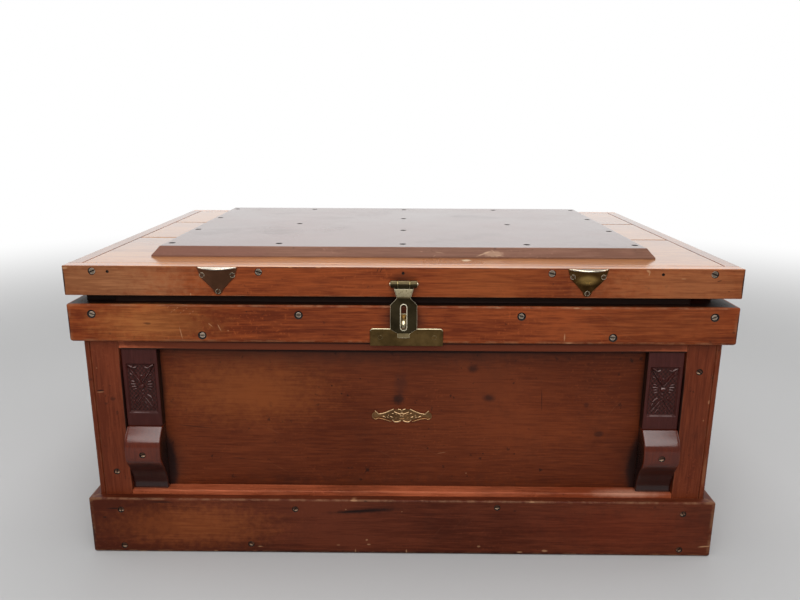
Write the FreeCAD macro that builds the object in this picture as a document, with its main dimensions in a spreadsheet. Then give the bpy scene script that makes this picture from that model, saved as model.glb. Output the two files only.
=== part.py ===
"""Joined wooden tool chest with a hinged lid, hasp, finger lifts, end handles and a sliding till.

Frame: +X to the right of someone facing the front, +Y to the back, +Z up, the floor at z = 0.
Lengths are in millimetres. Each size is a cell of the sheet, and every object is bound to those cells.
"""

import FreeCAD, Part
import math
import os
import re
import Sketcher

Vector = FreeCAD.Vector
Rotation = FreeCAD.Rotation

SIZES = {
    # the lid: a cap of four rails round three boards
    "lid_width": 914.0,
    "lid_depth": 610.0,
    "lid_rail_height": 41.0,
    "lid_rail_thick": 19.0,
    "lid_board_thick": 20.0,
    "lid_seam_first": 237.0,
    "lid_seam_second": 418.0,
    "seam_gap": 0.6,
    "edge_round": 3.0,
    # the bevelled board on the lid
    "raised_width": 720.0,
    "raised_depth": 484.0,
    "raised_setback": 67.0,
    "raised_thick": 14.0,
    "raised_bevel": 10.0,
    # the shadow gap, the band and the plinth
    "lid_gap": 12.4,
    "lip_clear": 1.2,
    "band_base": 328.0,
    "band_height": 53.3,
    "band_thick": 12.5,
    "band_chamfer": 3.0,
    "plinth_height": 88.5,
    "plinth_thick": 12.5,
    "plinth_chamfer": 3.0,
    # the joined frame of posts, rails and panels
    "post_width": 48.0,
    "frame_thick": 35.0,
    "corner_round": 3.0,
    "bead_width": 7.0,
    "bead_quirk": 2.0,
    "opening_top": 313.5,
    "sill_height": 95.6,
    "rail_base": 4.0,
    "panel_recess": 18.0,
    "panel_thick": 10.0,
    "panel_fit": 0.15,
    "panel_play": 0.4,
    "groove_depth": 9.0,
    "tenon_thick": 8.0,
    "tenon_length": 24.0,
    "tenon_shoulder": 12.0,
    "tenon_cover": 1.5,
    "tenon_fit": 0.15,
    # the floor
    "floor_level": 70.0,
    "floor_thick": 14.0,
    "floor_play": 0.5,
    "cleat_size": 18.0,
    # the carved blocks and the brackets of the front
    "pilaster_width": 50.0,
    "pilaster_thick": 14.0,
    "pilaster_gap": 1.0,
    "pilaster_setback": 26.0,
    "field_width": 42.0,
    "field_height": 75.0,
    "field_drop": 22.0,
    "field_depth": 5.0,
    "leaf_length": 34.0,
    "leaf_bow": 21.0,
    "leaf_height": 3.0,
    "leaf_tilt": 60.0,
    "boss_radius": 6.0,
    "boss_height": 4.0,
    "corbel_width": 51.0,
    "corbel_height": 100.0,
    "corbel_base": 12.0,
    "corbel_nose": 34.0,
    "corbel_head": 17.0,
    "corbel_nose_level": 62.0,
    "corbel_scoop_top": 44.0,
    "corbel_scoop_out": 27.0,
    "corbel_scoop": 58.0,
    # the pierced brass ornament
    "ornament_width": 89.0,
    "ornament_height": 26.0,
    "ornament_thick": 2.5,
    "ornament_level": 209.0,
    "ornament_bar": 5.0,
    "scroll_radius": 9.0,
    "scroll_hole": 5.0,
    "scroll_place": 17.0,
    "curl_radius": 7.0,
    "curl_hole": 3.5,
    "curl_place": 31.0,
    # the finger lifts
    "lift_place": 248.0,
    "lift_width": 55.0,
    "lift_height": 40.0,
    "lift_drop": 0.5,
    "lift_shoulder": 14.0,
    "lift_shoulder_in": 4.5,
    "lift_tip": 12.0,
    "lift_tip_round": 6.5,
    "lift_thick": 2.0,
    "lift_reach": 15.0,
    "lift_lip_chord": 51.0,
    "lift_lip_thick": 2.2,
    # the hasp and its staple
    "hasp_place": 2.0,
    "hasp_width": 38.0,
    "hasp_axis_rise": 19.3,
    "hasp_barrel": 5.0,
    "hasp_knuckle": 16.0,
    "hasp_leaf_thick": 2.0,
    "hasp_leaf_foot": 24.0,
    "hasp_face_gap": 0.3,
    "hasp_play": 0.3,
    "strap_thick": 2.0,
    "strap_set": 9.0,
    "strap_width": 36.0,
    "strap_top_width": 31.0,
    "strap_shelf_drop": 1.5,
    "strap_neck": 19.0,
    "strap_neck_rise": 0.8,
    "strap_shoulder_drop": 8.2,
    "strap_foot_drop": 42.0,
    "strap_end_drop": 48.0,
    "tab_width": 16.0,
    "tab_drop": 5.5,
    "tab_out": 3.5,
    "slot_width": 8.0,
    "slot_round": 4.1,
    "slot_top_drop": 7.5,
    "slot_length": 36.0,
    "staple_reach": 22.5,
    "staple_eye": 4.0,
    "staple_ring": 2.5,
    "staple_thick": 5.0,
    "staple_drop": 21.3,
    "plate_place": 6.0,
    "plate_width": 100.0,
    "plate_height": 25.0,
    "plate_thick": 2.0,
    "plate_rise": -3.0,
    "plate_round": 3.0,
    "plate_tab_width": 26.0,
    "plate_tab_rise": 21.0,
    # the lid's butt hinges
    "hinge_place": 280.0,
    "hinge_length": 64.0,
    "hinge_inset": 5.0,
    "hinge_barrel": 5.0,
    "hinge_knuckle": 21.4,
    "hinge_play": 0.3,
    "hinge_leaf_thick": 2.0,
    "hinge_leaf_margin": 0.5,
    "pin_radius": 2.0,
    "pin_clear": 0.05,
    # the drop handles on the ends
    "handle_level": 240.0,
    "handle_plate_length": 104.0,
    "handle_plate_height": 34.0,
    "handle_plate_thick": 3.0,
    "lug_width": 8.0,
    "lug_height": 12.0,
    "lug_reach": 11.0,
    "bail_rod": 4.0,
    "bail_set": 6.0,
    "bail_span": 72.0,
    "bail_drop": 46.0,
    "bail_bend": 11.0,
    "bail_pin": 3.0,
    "bail_play": 0.4,
    # the sliding till and its runners
    "till_level": 332.0,
    "till_depth": 190.0,
    "till_height": 62.0,
    "till_wall": 10.0,
    "till_base": 8.0,
    "till_side_play": 1.0,
    "till_stop_gap": 0.8,
    "runner_width": 14.0,
    "runner_height": 18.0,
    # wood screws, with heads flush in the face and few-sided shanks
    "screw_head": 4.4,
    "screw_head_depth": 2.2,
    "screw_shank": 2.6,
    "screw_length": 30.0,
    "post_screw_length": 22.0,
    "corbel_screw_length": 42.0,
    "corbel_screw_rise": 63.5,
    "screw_clear": 0.05,
    "lid_screw_inset": 40.0,
    "lid_screw_left": 193.0,
    "lid_screw_right": 200.0,
    "lid_screw_margin": 0.2,
    "band_screw_inset": 33.5,
    "band_screw_left": 141.0,
    "band_screw_right": 162.0,
    "band_screw_low_left": 274.0,
    "band_screw_low_right": 288.0,
    "band_screw_high": 39.5,
    "band_screw_low": 10.0,
    "plinth_screw_inset": 46.0,
    "plinth_screw_left": 155.0,
    "plinth_screw_right": 140.0,
    "plinth_screw_left_level": 73.0,
    "plinth_screw_right_level": 78.0,
    "plinth_screw_high": 70.0,
    "plinth_screw_low": 11.0,
    "plinth_screw_low_place": 222.0,
    "post_screw_inset": 28.0,
    "post_screw_low": 125.0,
    "post_screw_high": 285.0,
    "raised_screw_side": 20.0,
    "raised_screw_end": 35.0,
    "raised_screw_mid": 182.0,
    "raised_row_step": 72.0,
}
FLOOR_BOARDS = 6
HEAD_SIDES = 8
SHANK_SIDES = 4

# Places and sizes that follow from the cells.
DERIVED = {
    "front": "-(lid_depth - staple_reach) / 2",
    "back": "front + lid_depth",
    "middle": "front + lid_depth / 2",
    "core_half": "lid_width / 2 - band_thick",
    "core_front": "front + band_thick",
    "core_back": "back - band_thick",
    "inner_half": "core_half - frame_thick",
    "inner_front": "core_front + frame_thick",
    "inner_back": "core_back - frame_thick",
    "band_top": "band_base + band_height",
    "lid_base": "band_top + lid_gap",
    "lid_top": "lid_base + lid_rail_height",
    "lip_top": "lid_top - lid_board_thick",
    "lip_set": "lid_rail_thick + lip_clear - band_thick",
    "groove_front": "panel_recess - panel_fit",
    "groove_back": "panel_recess + panel_thick + panel_fit",
    "groove_low": "sill_height - groove_depth",
    "groove_high": "opening_top + groove_depth",
    "tenon_front": "lip_set + tenon_cover",
    "tenon_back": "tenon_front + tenon_thick",
    "panel_front": "core_front + panel_recess",
    "pilaster_centre": "core_half - post_width - pilaster_setback",
    "corbel_rise": "corbel_height - corbel_nose_level",
    "corbel_lean": "corbel_nose - corbel_head",
    "corbel_crown": "(corbel_rise * corbel_rise + corbel_lean * corbel_lean) / (2 * corbel_lean)",
    "corbel_drop": "corbel_nose_level - corbel_scoop_top",
    "corbel_tuck": "corbel_nose - corbel_scoop_out",
    "corbel_roll": "(corbel_drop * corbel_drop + corbel_tuck * corbel_tuck) / (2 * corbel_tuck)",
    "pilaster_base": "sill_height + corbel_height",
    "pilaster_height": "opening_top - pilaster_gap - pilaster_base",
    "raised_front": "front + raised_setback",
    "raised_middle": "raised_front + raised_depth / 2",
    "raised_top": "lid_top + raised_thick",
    "lift_base": "lid_top - lift_drop - lift_height",
    "lift_lip_radius": "(lift_lip_chord * lift_lip_chord / 4 + lift_reach * lift_reach) / (2 * lift_reach)",
    "hasp_axis": "lid_base + hasp_axis_rise",
    "hasp_out": "hasp_barrel + hasp_face_gap",
    "strap_bend": "lid_base + strap_neck_rise",
    "strap_shoulder": "lid_base - strap_shoulder_drop",
    "strap_foot": "lid_base - strap_foot_drop",
    "strap_end": "lid_base - strap_end_drop",
    "tab_end": "strap_end - tab_drop",
    "slot_top": "lid_base - slot_top_drop",
    "slot_foot": "slot_top - slot_length",
    "staple_level": "band_top - staple_drop",
    "staple_radius": "staple_eye + staple_ring",
    "staple_out": "staple_reach - staple_radius",
    "plate_base": "band_base + plate_rise",
    "hinge_axis": "band_top + lid_gap / 2",
    "hinge_line": "back - hinge_inset",
    "pin_bore": "pin_radius + pin_clear",
    "lug_place": "bail_span / 2 + bail_rod + bail_play",
    "handle_face": "panel_recess - handle_plate_thick",
    "bail_line": "handle_face - bail_set",
    "bail_foot": "handle_level - bail_drop",
    "till_half": "inner_half - till_side_play",
    "till_back": "inner_back - till_stop_gap",
    "till_front": "till_back - till_depth",
    "till_floor": "till_level + till_base",
    "till_top": "till_level + till_height",
}

WORD = re.compile(r"[a-z]+(?:_[a-z]+)*")
ALONG_X = Rotation(Vector(0, 1, 0), 90)
ALONG_Y = Rotation(Vector(1, 0, 0), -90)
OUTWARD = Rotation(Vector(1, 0, 0), 90)
UPWARD = Rotation()
DOWNWARD = Rotation(Vector(1, 0, 0), 180)

doc = FreeCAD.newDocument("tool_chest")
sheet = doc.addObject("Spreadsheet::Sheet", "sizes")
subparts = []


def fill_sheet():
    """Write each size into the sheet as a plain number with an alias."""
    for row, (alias, number) in enumerate(SIZES.items(), start=1):
        sheet.set(f"A{row}", alias)
        sheet.set(f"B{row}", str(number))
        sheet.setAlias(f"B{row}", alias)
    doc.recompute()


def spell(match):
    """Spell one word of an expression out in cells of the sheet."""
    word = match.group(0)
    if word in DERIVED:
        return "(" + link(DERIVED[word]) + ")"
    if word in SIZES:
        return "sizes." + word
    return word


def link(text):
    """Return an expression with its sizes spelled out in cells of the sheet."""
    return WORD.sub(spell, text)


def number(text):
    """Return the present value of an expression."""
    return float(sheet.evalExpression(link(text)))


def bind(item, **texts):
    """Bind properties of an object to expressions."""
    for name, text in texts.items():
        item.setExpression(name, link(text))


def place(item, x="0", y="0", z="0", turn=UPWARD):
    """Turn an object and bind its place to expressions."""
    item.Placement = FreeCAD.Placement(Vector(), turn)
    for axis, text in (("x", x), ("y", y), ("z", z)):
        item.setExpression("Placement.Base." + axis, link(text))


def add(kind, label):
    """Add an object to the document under its own label."""
    item = doc.addObject(kind, label)
    item.Label = label
    return item


def keep(item):
    """List an object as one of the sub-parts, which are written at the end."""
    subparts.append(item)
    return item


def block(label, x, y, z):
    """Return a box between a low and a high expression on each axis."""
    item = add("Part::Box", label)
    bind(item, Length=f"({x[1]}) - ({x[0]})", Width=f"({y[1]}) - ({y[0]})", Height=f"({z[1]}) - ({z[0]})")
    place(item, x[0], y[0], z[0])
    return item


def rod(label, radius, length, turn, x="0", y="0", z="0"):
    """Return a cylinder that starts at a point and runs along the turned Z axis."""
    item = add("Part::Cylinder", label)
    bind(item, Radius=radius, Height=length)
    place(item, x, y, z, turn)
    return item


def fuse(label, items):
    """Return the union of objects."""
    item = add("Part::MultiFuse", label)
    item.Shapes = items
    item.Refine = True
    return item


def group(label, items):
    """Return separate solids held in one object."""
    item = add("Part::Compound", label)
    item.Links = items
    return item


def cut(label, base, tools):
    """Return an object less its tools."""
    item = add("Part::Cut", label)
    item.Base = base
    item.Tool = tools[0] if len(tools) == 1 else group(label + "_tools", tools)
    item.Refine = True
    return item


def mirror(label, source, normal, at="0"):
    """Return an object mirrored in the plane across X or Y at an expression."""
    item = add("Part::Mirroring", label)
    item.Source = source
    item.Normal = normal
    if normal.y:
        item.setExpression("Base.y", link(at))
    else:
        item.setExpression("Base.x", link(at))
    return item


def arc_centre(start, end, radius, left):
    """Return the centre of an arc between two points, on the left or right of the way from start to end."""
    chord = end - start
    normal = Vector(-chord.y, chord.x, 0).normalize()
    rise = math.sqrt(max(radius**2 - chord.Length**2 / 4, 0))
    return (start + end) * 0.5 + normal * (rise if left else -rise)


def draw_loop(sketch, points, arcs):
    """Draw a closed loop through points in a sketch; arcs maps a side to its radius and the centre's side."""
    spots = [Vector(number(u), number(v), 0) for u, v in points]
    count = len(points)
    ids = []
    ends = []
    for side, start in enumerate(spots):
        end = spots[(side + 1) % count]
        if side in arcs:
            radius, left = arcs[side]
            centre = arc_centre(start, end, number(radius), left)
            first, last = (start, end) if left else (end, start)
            angles = [math.atan2(spot.y - centre.y, spot.x - centre.x) for spot in (first, last)]
            circle = Part.Circle(centre, Vector(0, 0, 1), number(radius))
            ids.append(sketch.addGeometry(Part.ArcOfCircle(circle, *angles), False))
            ends.append((1, 2) if left else (2, 1))
        else:
            ids.append(sketch.addGeometry(Part.LineSegment(start, end), False))
            ends.append((1, 2))
    for side in range(count):
        following = (side + 1) % count
        joint = (ids[side], ends[side][1], ids[following], ends[following][0])
        sketch.addConstraint(Sketcher.Constraint("Coincident", *joint))
    for side, texts in enumerate(points):
        for kind, text in zip(("DistanceX", "DistanceY"), texts):
            size = Sketcher.Constraint(kind, -1, 1, ids[side], ends[side][0], number(text))
            sketch.setExpression(f"Constraints[{sketch.addConstraint(size)}]", link(text))
        if side in arcs:
            size = Sketcher.Constraint("Radius", ids[side], number(arcs[side][0]))
            sketch.setExpression(f"Constraints[{sketch.addConstraint(size)}]", link(arcs[side][0]))


def sketch_in(body, role, points, arcs=None, inner=(), rise="0"):
    """Return a sketch of an outline on a plane of its body, with inner loops as (points, arcs)."""
    plane = [feature for feature in body.Origin.OriginFeatures if feature.Role == role][0]
    sketch = body.newObject("Sketcher::SketchObject", body.Label + "_outline")
    sketch.AttachmentSupport = [(plane, "")]
    sketch.MapMode = "FlatFace"
    sketch.setExpression("AttachmentOffset.Base.z", link(rise))
    draw_loop(sketch, points, arcs or {})
    for loop_points, loop_arcs in inner:
        draw_loop(sketch, loop_points, loop_arcs)
    return sketch


def pad(body, sketch, length, side="One side", reverse=False):
    """Pad a sketch of a body by a length."""
    feature = body.newObject("PartDesign::Pad", body.Label + "_pad")
    feature.Profile = sketch
    feature.SideType = side
    feature.Reversed = reverse
    bind(feature, Length=length)
    return feature


def padded(label, role, points, length, arcs=None, inner=(), side="One side", reverse=False):
    """Return a body that is one padded outline."""
    body = add("PartDesign::Body", label)
    sketch = sketch_in(body, role, points, arcs, inner)
    pad(body, sketch, length, side, reverse)
    return body


def edge_names(shape, test):
    """Return the names of the edges whose middle passes a test."""
    return [f"Edge{i}" for i, edge in enumerate(shape.Edges, start=1) if test(edge.CenterOfMass)]


def screw_form(label, length, room):
    """Return a screw drawn along Z from its head at z = 0, larger by room all round."""
    head = add("Part::Prism", label + "_head")
    head.Polygon = HEAD_SIDES
    bind(head, Circumradius=f"screw_head + {room}", Height=f"screw_head_depth + {room}")
    shank = add("Part::Prism", label + "_shank")
    shank.Polygon = SHANK_SIDES
    bind(shank, Circumradius=f"screw_shank + {room}", Height=f"({length}) + {room}")
    return fuse(label, [head, shank])


def screws(label, places, length):
    """Return screws with their heads flush at (x, y, z, turn), and the holes that hold them."""
    bodies = []
    holes = []
    for index, (x, y, z, turn) in enumerate(places):
        body = screw_form(f"{label}_{index}", length, "0")
        hole = screw_form(f"{label}_hole_{index}", length, "screw_clear")
        for item in (body, hole):
            place(item, x, y, z, turn)
        bodies.append(body)
        holes.append(hole)
    return bodies, holes


class Wall:
    """One side of the case: its length along the core, its stile width and its turn about Z."""

    def __init__(self, name, half, stile, angle, x, y):
        """Keep the wall's name, half length, stile, turn and the middle of its outer core face."""
        self.name = name
        self.half = half
        self.run = f"({half}) - {stile}"
        self.turn = Rotation(Vector(0, 0, 1), angle)
        self.x = x
        self.y = y

    def stand(self, item, z="0"):
        """Place an object drawn with X along the wall and Y inwards from the core's face."""
        place(item, self.x, self.y, z, self.turn)
        return item


END_HALF = "(core_back - core_front) / 2"
FRONT = Wall("front", "core_half", "post_width", 0, "0", "core_front")
RIGHT = Wall("right", END_HALF, "frame_thick", 90, "core_half", "middle")
BACK = Wall("back", "core_half", "post_width", 180, "0", "core_back")
LEFT = Wall("left", END_HALF, "frame_thick", -90, "-core_half", "middle")
WALLS = (FRONT, RIGHT, BACK, LEFT)


def drilled(label, blank, holes):
    """Return a kept sub-part: a blank less its screw holes."""
    return keep(cut(label, blank, holes))


def make_rail(wall, level, low, high, groove, rebate):
    """Return a rail with a tenon at each end, a panel groove and, at the top, the lid's rebate."""
    name = f"{wall.name}_{level}_rail"
    across = (f"-({wall.run})", wall.run)
    pieces = [block(name + "_board", across, ("0", "frame_thick"), (low, high))]
    reach = f"({wall.run}) + tenon_length"
    tenon_height = (f"({low}) + tenon_shoulder", f"({high}) - tenon_shoulder")
    tenon = block(name + "_tenons", (f"-({reach})", reach), ("tenon_front", "tenon_back"), tenon_height)
    pieces.append(tenon)
    tools = [block(name + "_groove", across, ("groove_front", "groove_back"), groove)]
    if rebate:
        tools.append(block(name + "_rebate", across, ("0", "lip_set"), ("band_top", "lip_top")))
    return wall.stand(cut(name + "_blank", fuse(name + "_joined", pieces), tools))


def make_panel(wall):
    """Return a wall's panel, which floats in the grooves of its frame."""
    reach = f"({wall.run}) + groove_depth - panel_play"
    height = ("groove_low + panel_play", "groove_high - panel_play")
    depth = ("panel_recess", "panel_recess + panel_thick")
    board = block(f"{wall.name}_panel_board", (f"-({reach})", reach), depth, height)
    return wall.stand(group(f"{wall.name}_panel_blank", [board]))


def make_post():
    """Return the front left post: a beaded section with rebates, grooves and mortises."""
    far = "bead_width + bead_quirk"
    section = [
        ("corner_round", "0"),
        ("bead_width", "0"),
        ("bead_width + bead_quirk / 2", "bead_quirk"),
        (far, "0"),
        ("post_width", "0"),
        ("post_width", "frame_thick"),
        ("0", "frame_thick"),
        ("0", far),
        ("bead_quirk", "bead_width + bead_quirk / 2"),
        ("0", "bead_width"),
        ("0", "corner_round"),
    ]
    body = padded("post_section", "XY_Plane", section, "lip_top", {10: ("corner_round", True)})
    lip = ("band_top", "lip_top")
    groove = ("groove_low", "groove_high")
    groove_side = ("groove_front", "groove_back")
    front_groove = ("post_width - groove_depth", "post_width")
    end_groove = ("frame_thick - groove_depth", "frame_thick")
    tools = [
        block("post_front_rebate", ("0", "post_width"), ("0", "lip_set"), lip),
        block("post_end_rebate", ("0", "lip_set"), ("0", "frame_thick"), lip),
        block("post_front_groove", front_groove, groove_side, groove),
        block("post_end_groove", groove_side, end_groove, groove),
    ]
    side = ("tenon_front - tenon_fit", "tenon_back + tenon_fit")
    deep = "(tenon_length + tenon_fit)"
    front_mortise = (f"post_width - {deep}", "post_width")
    end_mortise = (f"frame_thick - {deep}", "frame_thick")
    for level, low, high in (("top", "opening_top", "lip_top"), ("bottom", "rail_base", "sill_height")):
        height = (f"{low} + tenon_shoulder - tenon_fit", f"{high} - tenon_shoulder + tenon_fit")
        tools.append(block(f"post_front_{level}_mortise", front_mortise, side, height))
        tools.append(block(f"post_end_{level}_mortise", side, end_mortise, height))
    post = cut("post_blank", body, tools)
    place(post, "-core_half", "core_front", "0")
    return post


def make_skirt_board(wall, kind, base):
    """Return one mitred board of the band or plinth, with its upper outer edge taken off."""
    label = f"{kind}_{wall.name}_board"
    height = f"{kind}_height"
    thick = f"{kind}_thick"
    outer = f"({wall.half}) + {thick}"
    plan = [
        (f"-({outer})", f"-{thick}"),
        (outer, f"-{thick}"),
        (wall.half, "0"),
        (f"-({wall.half})", "0"),
    ]
    body = padded(label, "XY_Plane", plan, height)
    doc.recompute()
    top = number(height)
    face = -number(thick)
    plain = body.Tip
    feature = body.newObject("PartDesign::Chamfer", label + "_edge")

    def on_edge(spot):
        """Tell whether a point is at the middle of the upper outer edge."""
        return abs(spot.z - top) < 1e-6 and abs(spot.y - face) < 1e-6

    feature.Base = (plain, edge_names(plain.Shape, on_edge))
    bind(feature, Size=f"{kind}_chamfer")
    return wall.stand(body, base)


def make_lid_rail(label, half, turn, x, y):
    """Return a lid rail drawn along X with its outer face at y = 0 and its outer edges rounded."""
    profile = [
        ("0", "edge_round"),
        ("edge_round", "0"),
        ("lid_rail_thick", "0"),
        ("lid_rail_thick", "lid_rail_height"),
        ("edge_round", "lid_rail_height"),
        ("0", "lid_rail_height - edge_round"),
    ]
    arcs = {0: ("edge_round", True), 4: ("edge_round", True)}
    body = padded(label, "YZ_Plane", profile, f"2 * ({half})", arcs, side="Symmetric")
    place(body, x, y, "lid_base", turn)
    return body


def make_corbel(label, side):
    """Return a bracket: a scooped foot that rolls into a nose and a round crown, padded across its width."""
    profile = [
        ("0", "0"),
        ("0", "corbel_height"),
        ("-corbel_head", "corbel_height"),
        ("-corbel_nose", "corbel_nose_level"),
        ("-corbel_scoop_out", "corbel_scoop_top"),
        ("-corbel_base", "0"),
    ]
    arcs = {2: ("corbel_crown", True), 3: ("corbel_roll", True), 4: ("corbel_scoop", False)}
    body = padded(label, "YZ_Plane", profile, "corbel_width", arcs, side="Symmetric")
    place(body, f"{side} * pilaster_centre", "panel_front", "sill_height")
    return body


def make_pilaster(label, side):
    """Return a block with a sunk field that holds four crossed leaves round a boss."""
    half = "pilaster_width / 2"
    frame = [
        (f"-{half}", "0"),
        (half, "0"),
        (half, "pilaster_height"),
        (f"-{half}", "pilaster_height"),
    ]
    body = padded(label + "_block", "XZ_Plane", frame, "pilaster_thick")
    field_top = "pilaster_height - field_drop"
    field_middle = f"{field_top} - field_height / 2"
    floor = "field_depth - pilaster_thick"
    sunk = block(
        label + "_field",
        ("-field_width / 2", "field_width / 2"),
        ("-pilaster_thick", floor),
        (f"{field_top} - field_height", field_top),
    )
    carved = [cut(label + "_sunk", body, [sunk])]
    for index, mirrored in enumerate((1, -1, 1, -1)):
        lean = f"{90 if index < 2 else -90} - {mirrored} * (90 - leaf_tilt)"
        leaf = padded(
            f"{label}_leaf_{index}",
            "XZ_Plane",
            [("0", "0"), ("leaf_length", "0")],
            "leaf_height",
            {0: ("leaf_bow", True), 1: ("leaf_bow", True)},
        )
        place(leaf, "0", floor, field_middle)
        turn_leaf(leaf, lean)
        carved.append(leaf)
    carved.append(rod(label + "_boss", "boss_radius", "boss_height", OUTWARD, "0", floor, field_middle))
    whole = fuse(label, carved)
    place(whole, f"{side} * pilaster_centre", "panel_front", "pilaster_base")
    return whole


def turn_leaf(leaf, lean):
    """Turn a leaf about the Y axis by an expression in degrees, from X towards Z."""
    leaf.Placement = FreeCAD.Placement(Vector(), Rotation(Vector(0, -1, 0), number(lean)))
    leaf.setExpression("Placement.Rotation.Angle", link(lean))


def make_ornament():
    """Return the pierced plate: a bar, a centre disc and two pairs of scroll rings, cut through."""
    pieces = []
    tools = []
    bar_half = "ornament_width / 2 - curl_radius / 2"
    pieces.append(
        block(
            "ornament_bar",
            (f"-({bar_half})", bar_half),
            ("-ornament_thick", "0"),
            ("-ornament_bar / 2", "ornament_bar / 2"),
        )
    )
    pieces.append(rod("ornament_centre", "ornament_height / 2", "ornament_thick", OUTWARD))
    for side in (-1, 1):
        tip = f"{side} * (ornament_width / 2 - curl_radius / 2)"
        pieces.append(rod(f"ornament_tip_{side + 1}", "curl_radius / 2", "ornament_thick", OUTWARD, tip))
        for name, radius, hole, spot, rise in (
            ("scroll", "scroll_radius", "scroll_hole", "scroll_place", "ornament_bar / 2"),
            ("curl", "curl_radius", "curl_hole", "curl_place", "-ornament_bar / 4"),
        ):
            x = f"{side} * {spot}"
            label = f"ornament_{name}_{side + 1}"
            pieces.append(rod(label, radius, "ornament_thick", OUTWARD, x, "0", rise))
            tools.append(rod(label + "_eye", hole, "ornament_thick", OUTWARD, x, "0", rise))
    whole = cut("front_ornament", fuse("ornament_plate", pieces), tools)
    place(whole, "0", "panel_front", "ornament_level")
    return keep(whole)


def make_lift(label, side):
    """Return a finger lift: a tapered plate with a half-round lip along its top."""
    half = "lift_width / 2"
    tip = "lift_tip / 2"
    shoulder = f"({half} - lift_shoulder_in)"
    plate = [
        (f"-{tip}", tip),
        (tip, tip),
        (shoulder, "lift_height - lift_shoulder"),
        (half, "lift_height"),
        (f"-{half}", "lift_height"),
        (f"-{shoulder}", "lift_height - lift_shoulder"),
    ]
    body = add("PartDesign::Body", label)
    pad(body, sketch_in(body, "XZ_Plane", plate, {0: ("lift_tip_round", True)}), "lift_thick")
    chord = "lift_lip_chord / 2"
    lip = sketch_in(
        body,
        "XY_Plane",
        [(f"-{chord}", "0"), (chord, "0")],
        {0: ("lift_lip_radius", True)},
        rise="lift_height",
    )
    pad(body, lip, "lift_lip_thick", reverse=True)
    place(body, f"{side} * lift_place", "front", "lift_base")
    return body


def make_hasp():
    """Make the hasp's fixed leaf, its pin and the slotted strap that swings on it."""
    half = "hasp_width / 2"
    gap = "hasp_knuckle / 2 + hasp_play"
    axis_y = "front - hasp_out"
    left = f"hasp_place - {half}"
    foot = "hasp_leaf_foot / 2"
    leaf_outline = [
        (f"-{foot}", "lid_base + hasp_play"),
        (foot, "lid_base + hasp_play"),
        (half, "hasp_axis - hasp_barrel"),
        (half, "hasp_axis + hasp_barrel"),
        (f"-{half}", "hasp_axis + hasp_barrel"),
        (f"-{half}", "hasp_axis - hasp_barrel"),
    ]
    leaf = padded("hasp_leaf_plate", "XZ_Plane", leaf_outline, "hasp_leaf_thick")
    place(leaf, "hasp_place", "front", "0")
    window = block(
        "hasp_leaf_window",
        (f"hasp_place - ({gap})", f"hasp_place + {gap}"),
        ("front - 2 * hasp_out", "front"),
        ("hasp_axis - hasp_barrel - hasp_play", "hasp_axis + hasp_barrel"),
    )
    knuckle = f"({half}) - ({gap})"
    inner_end = f"hasp_place + {gap}"
    ends = [
        rod("hasp_knuckle_left", "hasp_barrel", knuckle, ALONG_X, left, axis_y, "hasp_axis"),
        rod("hasp_knuckle_right", "hasp_barrel", knuckle, ALONG_X, inner_end, axis_y, "hasp_axis"),
    ]
    bore = rod("hasp_bore", "pin_bore", "hasp_width", ALONG_X, left, axis_y, "hasp_axis")
    solid = fuse("hasp_leaf_solid", [cut("hasp_leaf_open", leaf, [window])] + ends)
    keep(cut("hasp_hinge_leaf", solid, [bore]))
    keep(rod("hasp_pin", "pin_radius", "hasp_width", ALONG_X, left, axis_y, "hasp_axis"))

    top = "strap_top_width / 2"
    neck = "strap_neck / 2"
    wide = "strap_width / 2"
    tab = "tab_width / 2"
    middle = "hasp_knuckle / 2"
    shelf = "hasp_axis - hasp_barrel - strap_shelf_drop"
    right_side = [
        (tab, "tab_end"),
        (tab, "strap_end"),
        (wide, "strap_foot"),
        (wide, "strap_shoulder"),
        (neck, "strap_bend"),
        (top, shelf),
        (middle, shelf),
        (middle, "hasp_axis"),
    ]
    left_side = [(f"-({x})", z) for x, z in reversed(right_side)]
    slot = "slot_width / 2"
    slot_loop = [
        (f"-{slot}", f"slot_foot + {slot}"),
        (slot, f"slot_foot + {slot}"),
        (slot, f"slot_top - {slot}"),
        (f"-{slot}", f"slot_top - {slot}"),
    ]
    slot_arcs = {0: ("slot_round", True), 2: ("slot_round", True)}
    outline = right_side + left_side
    face = padded("strap_face", "XZ_Plane", outline, "2 * staple_reach", inner=[(slot_loop, slot_arcs)])
    front_face = "strap_set + strap_thick"
    profile = [
        ("-hasp_out", "hasp_axis - hasp_barrel / 2"),
        ("-strap_set", "strap_bend"),
        ("-strap_set", "strap_end"),
        ("-(strap_set + tab_out)", "tab_end"),
        ("-(strap_set + tab_out + strap_thick)", "tab_end"),
        (f"-({front_face})", "strap_end"),
        (f"-({front_face})", "strap_bend"),
        ("-(hasp_out + strap_thick)", "hasp_axis - hasp_barrel / 2"),
    ]
    side = padded("strap_profile", "YZ_Plane", profile, "2 * strap_width", side="Symmetric")
    sheet_metal = add("Part::MultiCommon", "strap_sheet")
    sheet_metal.Shapes = [face, side]
    start = (f"-({middle})", "-hasp_out", "hasp_axis")
    knuckle_rod = rod("strap_knuckle", "hasp_barrel", "hasp_knuckle", ALONG_X, *start)
    strap_bore = rod("strap_bore", "pin_bore", "hasp_knuckle", ALONG_X, *start)
    strap = cut("hasp_strap", fuse("strap_solid", [sheet_metal, knuckle_rod]), [strap_bore])
    place(strap, "hasp_place", "front", "0")
    keep(strap)


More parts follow.
